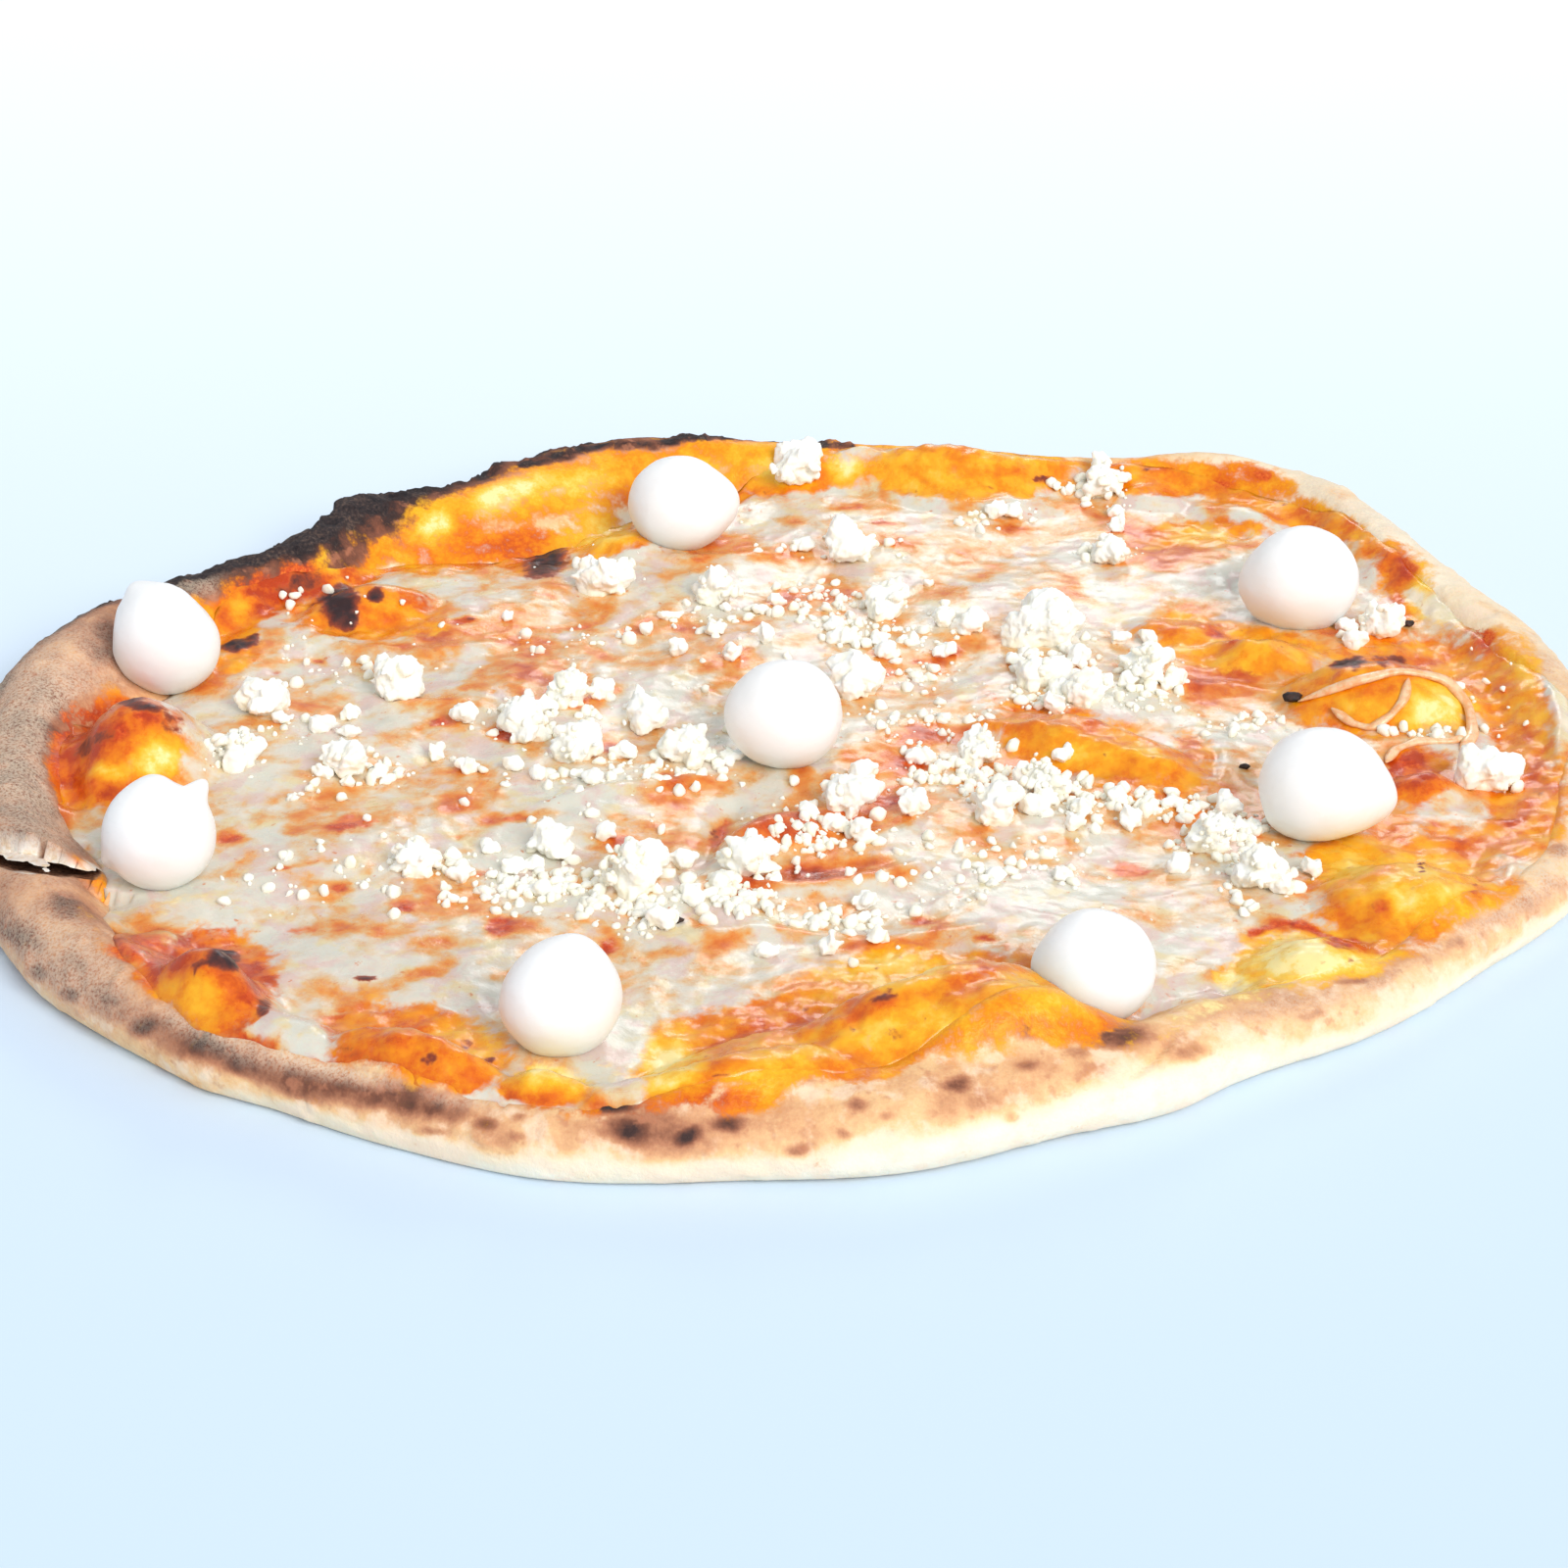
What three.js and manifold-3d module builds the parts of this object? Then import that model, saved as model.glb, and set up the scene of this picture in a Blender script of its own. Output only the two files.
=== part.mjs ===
// A whole four cheese pizza, uneven as baked: the dough with its puffed rim, blisters and one
// torn slit, a skin of melted cheese with the smaller crumbs and a cheese string fused to it,
// eight small fresh mozzarella balls, and the largest lumps of crumbled white cheese.
// Millimetres, +Z up. The flat underside is at z = 0 and the origin is under the middle of the
// whole. Plan positions below are from the point that bearings are measured from.

import * as THREE from "three";
import { mergeVertices } from "three/addons/utils/BufferGeometryUtils.js";
import Module from "manifold-3d";

const wasm = await Module();
wasm.setup();

// ---------------------------------------------------------------- driving dimensions
const DOUGH_FLOOR = 5.2; // dough under the cheese
const CHEESE_FULL = 2.3; // melted cheese away from its edge
const CHEESE_EDGE = 0.8; // the same at its edge
const CHEESE_TAPER = 11; // width over which it thins out
const GAP = 0.3; // clearance between pieces that touch
const RIM_FOOT = 13; // least run from the rim's crest down to the floor
const FOOT_PAST_CHEESE = 3; // and how far inside the cheese's edge that run ends
const RELIEF_FADE = 5; // width at the outline over which blisters fade out
const WAVE_START = 12; // inset from the outline at which the floor's waves begin
const WAVE_FADE = 20; // and the width over which they grow
const BLISTER_POWER = 1.4; // how round a blister is: less is puffier
const SIDE_SHARE = 0.42; // height of the rim's widest line, as a share of its crest
const TUCK_SHARE = 0.45; // how far the side draws in below that line, as a share of the crest inset
const LUMP_SINK = 0.3; // share of a lump's half height that is sunk in the cheese
const CRUMB_BITE = 1.1; // depth to which a fused crumb sits in the cheese

// Small ripples round the pizza: height, number of waves, phase.
const OUTLINE_RIPPLE = [0.6, 17, 1.3];
const CHEESE_RIPPLE = [0.9, 13, 0];
const CREST_RIPPLE = [0.4, 11, 0.5];

// Middle of the whole outline's box, seen from the point that the bearings are measured from.
const PLAN_MIDDLE = { x: -0.2, y: -2.9 };

const RINGS = 15; // rings of the even disc mesh, which has six more points on each
const AROUND = 6 * RINGS;
const CROWN_ROWS = 6; // rows from the cheese edge out to the rim's widest line
const SIDE_ROWS = 3; // rows from there to the underside

// The rim at stations round the pizza: bearing in degrees from +X, outline radius, crest
// height, and how far in from the outline the crest and the edge of the cheese lie.
const RIM = [
  [-180, 161, 15, 13, 19],
  [-168, 161.5, 15, 12, 20],
  [-158, 161.5, 14.5, 11, 24],
  [-149, 160, 14, 10, 17],
  [-140, 158.5, 13.5, 9, 7.5],
  [-131, 156, 12.5, 8, 4],
  [-125, 152.5, 12, 7, 3.5],
  [-117, 153, 11, 7, 4],
  [-108, 152.5, 12, 8, 6.5],
  [-98, 150, 13, 9, 8],
  [-90, 148, 14, 11, 10],
  [-81, 146.5, 15, 13, 16],
  [-71, 143, 15, 13, 19],
  [-63, 142, 13, 11, 18],
  [-57, 140, 12, 10, 20],
  [-48, 142.5, 11.5, 9, 12],
  [-37, 145, 10, 7, 8],
  [-25, 152, 10, 7, 8],
  [-12, 157.5, 11, 8, 9],
  [3, 160, 12, 9, 8],
  [14, 161, 13, 10, 14],
  [26, 160.5, 13, 10, 12],
  [38, 166, 14, 10, 13],
  [47, 171, 14, 10, 15],
  [54, 167, 15, 9, 13],
  [61, 154, 12.5, 7, 8],
  [67, 146, 14, 9, 7],
  [80, 142, 14.5, 9, 6],
  [90, 141.5, 15, 9, 13],
  [101, 145, 15.5, 9, 22],
  [113, 143.5, 16, 10, 31],
  [124, 138.5, 15.5, 9, 28],
  [134, 142.5, 15.5, 9, 20],
  [144, 138.5, 15, 8, 14],
  [154, 147, 15, 9, 14],
  [163, 156, 16, 12, 26],
  [172, 159.5, 16, 13, 32],
];
const [BEARING, RADIUS, CREST, CREST_INSET, CHEESE_INSET] = [0, 1, 2, 3, 4];

// Blisters, folds and one pit: centre x and y, half length, half width, turn in degrees, height.
const BLISTERS = [
  [-126, -10, 17, 19, 0, 12.5], // left
  [-98.5, -103, 12, 10, -40, 7], // left front
  [-112, -81, 7, 5, -40, 2], // sauce beside it
  [-63, -126, 17, 10, -22, 6.5], // front left
  [-41, -134, 8, 6, -10, 3], // small one at the front
  [-3, -126, 30, 15, 24, 6.5], // the long front bubble, its low end
  [30, -113, 31, 18, 16, 14.5], // and its high end
  [110, -67, 18, 15, 20, 7], // golden, lower right
  [90, -88, 13, 10, 20, 4], // pale, beside it
  [117, 15.5, 22, 15, 0, 8.5], // right, under the cheese string
  [119, -23, 10, 8, 0, 4.5],
  [-88.5, 59, 16, 9, 15, 5], // back left
  [57, -3, 26, 10, -32, 5], // glossy golden fold
  [79, 49, 12, 8, -20, 3],
  [96, 35, 13, 9, 0, 3.5],
  [-3, -41, 15, 8, 28, 3.5], // red ridge in the middle
  [38, 119, 24, 12, -16, 4], // bulge on the back rim
  [77.5, 119, 12, 9, -30, 3],
  [99, 108.5, 14, 11, -40, 3.5],
  [-33, 91, 14, 8, 10, 3],
  [-94, 98, 8, 5, 40, 2.5], // charred knobs on the back rim
  [-64, 120, 6, 5, 30, 2],
  [-52, 87, 6, 5, 0, -1.8], // pit between folds at the back
];

// Gentle waves of the floor: waves per mm along x and y, phase, height.
const WAVES = [
  [0.11, 0.05, 0.4, 0.45],
  [-0.06, 0.13, 2.1, 0.45],
  [0.19, -0.16, 4.0, 0.25],
];

// The torn slit across the left rim: its middle, size and turn, the tip of its mouth towards
// the front, and how far the crust behind it has lifted and the crust before it has sunk.
const SLIT = { x: -140, y: -56, z: 10.8, length: 34, height: 2.6, depth: 10, turn: -20, tip: -24 };
const SLIT_LIFT = 2.6;
const SLIT_DROP = 1.8;
const SLIT_FADE = 9;

// Fresh mozzarella balls: x, y and height of the middle, half width, half height.
const BALLS = [
  [-23.5, 94.5, 17, 11.8, 10.4],
  [-125, 26, 17.5, 10.8, 11.6],
  [105, 56, 17, 12.3, 11],
  [-1.7, -7.8, 17, 11.2, 10.6],
  [99, -37.5, 17, 12.3, 10.9],
  [-115.3, -56.5, 17, 10.4, 10.2],
  [-39.4, -114.4, 17, 10.5, 10.6],
  [51.2, -103.6, 16.5, 10.5, 10.2],
];

// Lumps of crumbled cheese: x, y, width.
const LUMPS = [
  [0.7, 124.6, 12.6],
  [-39.6, 69.4, 12.2],
  [-78.5, 20.1, 12],
  [-104.4, 11, 11],
  [12.6, 86.1, 11],
  [-16.1, 63.5, 9.4],
  [-44.2, 14.8, 9.6],
  [-29.7, 6.9, 11],
  [-52.6, 1.8, 10.4],
  [-41.6, -8.5, 11],
  [-20.7, -9.5, 10.4],
  [13.5, 21.5, 11.5],
  [10.8, -29.1, 10.4],
  [-8.9, -54.5, 11],
  [-44.4, -45.4, 9.2],
  [-29.4, -61, 13],
  [67.6, 84.5, 9],
  [37.8, -34, 11.6],
  [47.5, -22, 10],
  [36.2, -8.5, 9.2],
  [52.6, 44.3, 13.6],
  [49, 24, 9.4],
  [59, 15.5, 8.6],
  [71.5, 26, 11],
  [85, -60, 10.6],
  [78, -45.5, 9.8],
  [132.7, -20.3, 12],
  [121.5, 47.5, 9.6],
  [-69.5, -53, 9],
  [-85.5, -15, 9.4],
  [-106.5, -11, 9.6],
  [69, 118, 9.4],
  [20, 58.6, 11],
];

// Where the fused crumbs are thick on the ground: x, y, spread, how many.
const CRUMB_PATCHES = [
  [-18, 44, 15, 4],
  [22, 52, 16, 5],
  [60, 34, 18, 5],
  [-48, -2, 20, 4],
  [-30, -58, 20, 5],
  [-62, -56, 16, 2],
  [12, -32, 18, 4],
  [50, -26, 18, 5],
  [84, -48, 16, 3],
  [-84, -10, 20, 3],
  [8, -68, 24, 3],
  [60, 108, 14, 2],
];
const CRUMB_WIDTH = [4.2, 6.6]; // narrowest and widest
const CRUMB_CLEARANCE = 0.6; // least gap to a ball, a lump or another crumb
const CRUMB_TRIES = 400;
const ROUGHNESS = 0.16; // how far a crumb's or lump's points are pushed in and out, as a share
const CRUMB_SEED = 4127;
const LUMP_SEED = 881;

// The cheese string lying over the right blister: x and y along it, and its thickness.
const STRING = [
  [100, 12],
  [110.5, 11],
  [120, 12.5],
  [129.5, 14],
  [133.5, 9.5],
  [133, 0],
  [129.5, -6.5],
];
const STRING_THICK = 2;
const STRING_STEPS = 18;

// ---------------------------------------------------------------- small helpers
const radians = THREE.MathUtils.degToRad;
const smooth = (t) => {
  const c = Math.min(1, Math.max(0, t));
  return c * c * (3 - 2 * c);
};

// A repeatable random number between 0 and 1.
function randomFrom(seed) {
  let state = seed;
  return () => {
    state = (state * 1664525 + 1013904223) % 4294967296;
    return state / 4294967296;
  };
}

// A closed indexed mesh from a list of [x, y, z] and a list of triangles.
function closedGeometry(points, triangles) {
  const geometry = new THREE.BufferGeometry();
  geometry.setAttribute("position", new THREE.Float32BufferAttribute(points.flat(), 3));
  geometry.setIndex(triangles.flat());
  return geometry;
}

function toSolid(geometry) {
  const bare = geometry.clone();
  bare.deleteAttribute("normal");
  bare.deleteAttribute("uv");
  const merged = mergeVertices(bare, 1e-4);
  const vertProperties = new Float32Array(merged.attributes.position.array);
  const triVerts = new Uint32Array(merged.index.array);
  return new wasm.Manifold(new wasm.Mesh({ numProp: 3, vertProperties, triVerts }));
}

function fromSolid(solid) {
  const { vertProperties, triVerts } = solid.getMesh();
  const geometry = new THREE.BufferGeometry();
  geometry.setAttribute("position", new THREE.BufferAttribute(vertProperties, 3));
  geometry.setIndex(new THREE.BufferAttribute(triVerts, 1));
  return geometry;
}

// ---------------------------------------------------------------- the form of the pizza

// One column of the rim stations at a bearing in radians, as a smooth closed curve.
function rimAt(bearing, column) {
  const count = RIM.length;
  const degrees = ((((bearing * 180) / Math.PI + 180) % 360) + 360) % 360 - 180;
  let k = count - 1;
  while (RIM[k][BEARING] > degrees) k -= 1;
  const station = (i) => RIM[(i + count) % count];
  const place = (i) => station(i)[BEARING] + 360 * Math.floor(i / count);
  const slope = (i) => (station(i + 1)[column] - station(i - 1)[column]) / (place(i + 1) - place(i - 1));
  const span = place(k + 1) - place(k);
  const t = (degrees - place(k)) / span;
  const rise = t * t * (3 - 2 * t);
  return (
    station(k)[column] * (1 - rise) +
    station(k + 1)[column] * rise +
    span * slope(k) * t * (1 - t) * (1 - t) -
    span * slope(k + 1) * t * t * (1 - t)
  );
}

const ripple = ([height, waves, phase], bearing) => height * Math.sin(waves * bearing + phase);
const outline = (bearing) => rimAt(bearing, RADIUS) + ripple(OUTLINE_RIPPLE, bearing);
const cheeseEdge = (bearing) =>
  outline(bearing) - rimAt(bearing, CHEESE_INSET) + ripple(CHEESE_RIPPLE, bearing);

// Height of the plain rim and floor, at a distance in from the outline.
function rimProfile(bearing, inset) {
  const crest = rimAt(bearing, CREST) + ripple(CREST_RIPPLE, bearing);
  const crestInset = rimAt(bearing, CREST_INSET);
  const side = SIDE_SHARE * crest;
  if (inset < crestInset) {
    const out = (crestInset - Math.max(0, inset)) / crestInset;
    return side + (crest - side) * Math.sqrt(1 - out * out);
  }
  const foot = Math.max(rimAt(bearing, CHEESE_INSET) + FOOT_PAST_CHEESE, crestInset + RIM_FOOT);
  return crest + (DOUGH_FLOOR - crest) * smooth((inset - crestInset) / (foot - crestInset));
}

function blisterRise(x, y) {
  let rise = 0;
  for (const [cx, cy, halfLength, halfWidth, turn, height] of BLISTERS) {
    const c = Math.cos(radians(turn));
    const s = Math.sin(radians(turn));
    const along = ((x - cx) * c + (y - cy) * s) / halfLength;
    const across = ((y - cy) * c - (x - cx) * s) / halfWidth;
    const inside = 1 - along * along - across * across;
    if (inside > 0) rise += height * Math.pow(inside, BLISTER_POWER);
  }
  return rise;
}

// The lifted lip behind the torn slit and the sunken crust before it.
function slitStep(x, y) {
  const c = Math.cos(radians(SLIT.turn));
  const s = Math.sin(radians(SLIT.turn));
  const along = Math.abs((x - SLIT.x) * c + (y - SLIT.y) * s);
  const behind = (y - SLIT.y) * c - (x - SLIT.x) * s;
  const fade = smooth(1.6 - along / (SLIT.length / 2)) * Math.exp(-Math.abs(behind) / SLIT_FADE);
  return fade * (behind > 0 ? SLIT_LIFT : -SLIT_DROP);
}

// Top of the bare dough at a point of the plan.
function doughTop(x, y) {
  const bearing = Math.atan2(y, x);
  const inset = outline(bearing) - Math.hypot(x, y);
  const inward = smooth((inset - WAVE_START) / WAVE_FADE);
  let wave = 0;
  for (const [kx, ky, phase, height] of WAVES) wave += height * Math.sin(kx * x + ky * y + phase);
  const relief = (blisterRise(x, y) + slitStep(x, y)) * smooth(inset / RELIEF_FADE);
  return rimProfile(bearing, inset) + relief + wave * inward;
}

function cheeseThickness(x, y) {
  const bearing = Math.atan2(y, x);
  const inside = (cheeseEdge(bearing) - Math.hypot(x, y)) / CHEESE_TAPER;
  return CHEESE_EDGE + (CHEESE_FULL - CHEESE_EDGE) * smooth(inside);
}

const cheeseTop = (x, y) => doughTop(x, y) + GAP + cheeseThickness(x, y);

// The visible top at a point, dough or cheese, whichever lies there.
function surfaceTop(x, y) {
  return Math.hypot(x, y) <= cheeseEdge(Math.atan2(y, x)) ? cheeseTop(x, y) : doughTop(x, y);
}

// ---------------------------------------------------------------- meshes over the plan

// Points of the even disc out to the cheese's edge, ring by ring, at heights from a function.
function discPoints(height) {
  const points = [[0, 0, height(0, 0)]];
  for (let ring = 1; ring <= RINGS; ring += 1)
    for (let step = 0; step < 6 * ring; step += 1) {
      const bearing = (2 * Math.PI * step) / (6 * ring);
      const r = (cheeseEdge(bearing) * ring) / RINGS;
      const x = r * Math.cos(bearing);
      const y = r * Math.sin(bearing);
      points.push([x, y, height(x, y)]);
    }
  return points;
}

// Triangles of that disc, facing up: each ring has one point more than the last in each sixth.
function discTriangles() {
  const triangles = [];
  const first = (ring) => (ring === 0 ? 0 : 1 + 3 * ring * (ring - 1));
  const index = (ring, step) => first(ring) + (ring === 0 ? 0 : step % (6 * ring));
  for (let ring = 1; ring <= RINGS; ring += 1)
    for (let sixth = 0; sixth < 6; sixth += 1)
      for (let step = 0; step < ring; step += 1) {
        const outer = sixth * ring + step;
        const inner = sixth * (ring - 1) + step;
        triangles.push([index(ring - 1, inner), index(ring, outer), index(ring, outer + 1)]);
        if (step < ring - 1)
          triangles.push([index(ring - 1, inner), index(ring, outer + 1), index(ring - 1, inner + 1)]);
      }
  return triangles;
}

const DISC_TRIANGLES = discTriangles();
const DISC_COUNT = 1 + 3 * RINGS * (RINGS + 1);
const DISC_RIM_START = DISC_COUNT - AROUND;

// Two triangles for each step of the band between two closed rows of AROUND points.
function band(innerStart, outerStart) {
  const triangles = [];
  for (let step = 0; step < AROUND; step += 1) {
    const next = (step + 1) % AROUND;
    triangles.push([innerStart + step, outerStart + step, outerStart + next]);
    triangles.push([innerStart + step, outerStart + next, innerStart + next]);
  }
  return triangles;
}

// Rows from the cheese's edge over the rim's crown to its widest line.
function crownRows(lift) {
  const rows = [];
  for (let row = 1; row <= CROWN_ROWS; row += 1)
    for (let step = 0; step < AROUND; step += 1) {
      const bearing = (2 * Math.PI * step) / AROUND;
      const full = outline(bearing) - cheeseEdge(bearing);
      const inset = full * (1 - Math.sin((row / CROWN_ROWS) * (Math.PI / 2)));
      const r = outline(bearing) - inset;
      const x = r * Math.cos(bearing);
      const y = r * Math.sin(bearing);
      rows.push([x, y, doughTop(x, y) + lift]);
    }
  return rows;
}

// Rows that draw in from the widest line to the flat underside.
function sideRows() {
  const rows = [];
  for (let row = 1; row <= SIDE_ROWS; row += 1)
    for (let step = 0; step < AROUND; step += 1) {
      const bearing = (2 * Math.PI * step) / AROUND;
      const dip = (row / SIDE_ROWS) * (Math.PI / 2);
      const tuck = TUCK_SHARE * rimAt(bearing, CREST_INSET) * (1 - Math.cos(dip));
      const r = outline(bearing) - tuck;
      const widest = rimProfile(bearing, 0);
      const z = row === SIDE_ROWS ? 0 : widest * (1 - Math.sin(dip));
      rows.push([r * Math.cos(bearing), r * Math.sin(bearing), z]);
    }
  return rows;
}

// Closes a disc with its rows below by a flat fan round a middle point.
function closedOverPlan(top, rows, bottomHeight) {
  const points = [...top, ...rows];
  const triangles = [...DISC_TRIANGLES];
  const rowCount = rows.length / AROUND;
  for (let row = 0; row < rowCount; row += 1) {
    const inner = row === 0 ? DISC_RIM_START : DISC_COUNT + (row - 1) * AROUND;
    triangles.push(...band(inner, DISC_COUNT + row * AROUND));
  }
  const lastRow = points.length - AROUND;
  const middle = points.length;
  points.push([0, 0, bottomHeight]);
  for (let step = 0; step < AROUND; step += 1)
    triangles.push([middle, lastRow + ((step + 1) % AROUND), lastRow + step]);
  return toSolid(closedGeometry(points, triangles));
}

// Everything below the visible top, raised by the clearance: it cuts what rests on the pizza.
function belowTheTop() {
  const top = discPoints((x, y) => cheeseTop(x, y) + GAP);
  const rows = crownRows(GAP);
  const floor = rows.slice(-AROUND).map(([x, y]) => [x, y, -1]);
  return closedOverPlan(top, [...rows, ...floor], -1);
}

// ---------------------------------------------------------------- the pieces

// A flattened lens with pointed ends, laid in the rim, leaves the torn slit.
function slitCutter() {
  const lens = new THREE.SphereGeometry(1, 12, 8);
  lens.scale(SLIT.length / 2, SLIT.depth, SLIT.height / 2);
  lens.rotateX(radians(SLIT.tip));
  lens.rotateZ(radians(SLIT.turn));
  lens.translate(SLIT.x, SLIT.y, SLIT.z);
  return toSolid(lens);
}

function doughBase() {
  const whole = closedOverPlan(discPoints(doughTop), [...crownRows(0), ...sideRows()], 0);
  return whole.subtract(slitCutter());
}

function cheeseSkin() {
  const top = discPoints(cheeseTop);
  const under = discPoints((x, y) => doughTop(x, y) + GAP);
  const flipped = DISC_TRIANGLES.map(([a, b, c]) => [a + DISC_COUNT, c + DISC_COUNT, b + DISC_COUNT]);
  const edge = band(DISC_RIM_START, DISC_RIM_START + DISC_COUNT);
  return toSolid(closedGeometry([...top, ...under], [...DISC_TRIANGLES, ...edge, ...flipped]));
}

// A rough rounded lump: an icosahedron whose points are pushed in and out.
function roughBall(detail, random) {
  const rough = new THREE.IcosahedronGeometry(1, detail);
  rough.deleteAttribute("normal");
  rough.deleteAttribute("uv");
  const merged = mergeVertices(rough, 1e-4);
  const position = merged.attributes.position;
  for (let i = 0; i < position.count; i += 1) {
    const push = 1 + ROUGHNESS * (2 * random() - 1);
    position.setXYZ(i, position.getX(i) * push, position.getY(i) * push, position.getZ(i) * push);
  }
  return merged;
}

// Crumbs drawn round their patches, clear of the balls, the lumps and each other.
function crumbPlaces() {
  const random = randomFrom(CRUMB_SEED);
  const taken = [
    ...BALLS.map(([x, y, , halfWidth]) => [x, y, halfWidth]),
    ...LUMPS.map(([x, y, width]) => [x, y, 0.62 * width]),
  ];
  const crumbs = [];
  for (const [px, py, spread, count] of CRUMB_PATCHES) {
    let placed = 0;
    for (let attempt = 0; attempt < CRUMB_TRIES && placed < count; attempt += 1) {
      const bearing = 2 * Math.PI * random();
      const away = spread * Math.sqrt(random());
      const x = px + away * Math.cos(bearing);
      const y = py + away * Math.sin(bearing);
      const width = CRUMB_WIDTH[0] + (CRUMB_WIDTH[1] - CRUMB_WIDTH[0]) * random() * random();
      const needed = 0.6 * width + CRUMB_CLEARANCE;
      if (taken.some(([tx, ty, reach]) => Math.hypot(x - tx, y - ty) < reach + needed)) continue;
      taken.push([x, y, width / 2]);
      crumbs.push([x, y, width]);
      placed += 1;
    }
  }
  return crumbs;
}

function cheeseString() {
  const path = STRING.map(([x, y]) => new THREE.Vector3(x, y, cheeseTop(x, y) + 0.15 * STRING_THICK));
  const section = new THREE.Shape();
  const sides = 5;
  for (let side = 0; side < sides; side += 1) {
    const turn = (2 * Math.PI * side) / sides;
    const place = [(STRING_THICK / 2) * Math.cos(turn), (STRING_THICK / 2) * Math.sin(turn)];
    if (side === 0) section.moveTo(...place);
    else section.lineTo(...place);
  }
  const extrudePath = new THREE.CatmullRomCurve3(path);
  return toSolid(new THREE.ExtrudeGeometry(section, { steps: STRING_STEPS, extrudePath }));
}

function meltedCheese() {
  const random = randomFrom(CRUMB_SEED + 1);
  let solid = cheeseSkin();
  for (const [x, y, width] of crumbPlaces()) {
    const crumb = roughBall(0, random);
    const half = width / 2;
    crumb.rotateZ(6 * random());
    crumb.scale(half * (0.9 + 0.25 * random()), half * (0.85 + 0.2 * random()), half * 0.85);
    crumb.translate(x, y, cheeseTop(x, y) + 0.85 * half - CRUMB_BITE);
    solid = solid.add(toSolid(crumb));
  }
  return solid.add(cheeseString());
}

function mozzarellaBall([x, y, z, halfWidth, halfHeight], cutter) {
  const ball = new THREE.IcosahedronGeometry(1, 2);
  ball.scale(halfWidth, halfWidth * 0.96, halfHeight);
  ball.translate(x, y, z);
  return toSolid(ball).subtract(cutter);
}

function cheeseLump([x, y, width], cutter, random) {
  const lump = roughBall(1, random);
  const half = width / 2;
  const halfHeight = half * (0.78 + 0.2 * random());
  lump.rotateZ(6 * random());
  lump.scale(half * (0.92 + 0.16 * random()), half * (0.8 + 0.16 * random()), halfHeight);
  lump.translate(x, y, surfaceTop(x, y) + (1 - LUMP_SINK) * halfHeight);
  return toSolid(lump).subtract(cutter);
}

// ---------------------------------------------------------------- materials and assembly
const DOUGH = new THREE.MeshStandardMaterial({ color: "#d9a878", roughness: 0.85, metalness: 0 });
const MELTED = new THREE.MeshStandardMaterial({ color: "#e9c08e", roughness: 0.35, metalness: 0 });
const FRESH = new THREE.MeshStandardMaterial({ color: "#f6f2ea", roughness: 0.4, metalness: 0 });
const CRUMBLED = new THREE.MeshStandardMaterial({ color: "#f3eede", roughness: 0.8, metalness: 0 });

const pizza = new THREE.Group();
const plan = new THREE.Group();
plan.position.set(-PLAN_MIDDLE.x, -PLAN_MIDDLE.y, 0);
pizza.add(plan);

function addPiece(name, solid, material) {
  const mesh = new THREE.Mesh(fromSolid(solid), material);
  mesh.name = name;
  plan.add(mesh);
}

addPiece("dough_base", doughBase(), DOUGH);
addPiece("melted_cheese", meltedCheese(), MELTED);

const cutter = belowTheTop();
BALLS.forEach((ball, i) => addPiece(`mozzarella_ball_${i + 1}`, mozzarellaBall(ball, cutter), FRESH));

const lumpRandom = randomFrom(LUMP_SEED);
LUMPS.forEach((lump, i) => addPiece(`cheese_lump_${i + 1}`, cheeseLump(lump, cutter, lumpRandom), CRUMBLED));

export default pizza;
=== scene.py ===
"""The looks of a whole four cheese pizza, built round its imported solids.

Lengths are millimetres in the plan that the solids were drawn in, until a mesh is made in
metres. A place in the photograph is in pixels of its 1600 by 1600 frame, as the camera below
sees it, and it is only used to paint a spot of the surface or to set something down on it.
"""

import itertools
import math

import bmesh
import bpy
import numpy as np
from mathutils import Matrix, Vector


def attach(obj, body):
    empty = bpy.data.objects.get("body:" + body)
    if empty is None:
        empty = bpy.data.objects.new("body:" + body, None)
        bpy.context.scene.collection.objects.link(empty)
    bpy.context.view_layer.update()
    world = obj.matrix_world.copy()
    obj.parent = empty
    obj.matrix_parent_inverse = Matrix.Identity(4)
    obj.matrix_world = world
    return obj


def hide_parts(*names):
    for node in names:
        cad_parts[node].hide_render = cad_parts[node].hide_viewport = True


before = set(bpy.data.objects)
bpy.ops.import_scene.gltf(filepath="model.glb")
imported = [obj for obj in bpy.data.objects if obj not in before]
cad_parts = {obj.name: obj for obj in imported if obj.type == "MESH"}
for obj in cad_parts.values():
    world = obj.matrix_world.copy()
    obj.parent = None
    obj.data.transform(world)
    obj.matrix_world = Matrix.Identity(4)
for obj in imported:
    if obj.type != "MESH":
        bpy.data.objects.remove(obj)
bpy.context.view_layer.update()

# ---------------------------------------------------------------- camera and photograph
CAMERA = np.array([-1.5, -680.8, 353.9])  # millimetres, in the part's own frame
CAMERA_TILT = 62.5  # degrees up from looking straight down
LENS = 90.0
SENSOR = 36.0
PHOTO_SIDE = 1600
PHOTO_MIDDLE = PHOTO_SIDE / 2
FOCAL_PIXELS = LENS / SENSOR * PHOTO_SIDE

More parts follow.
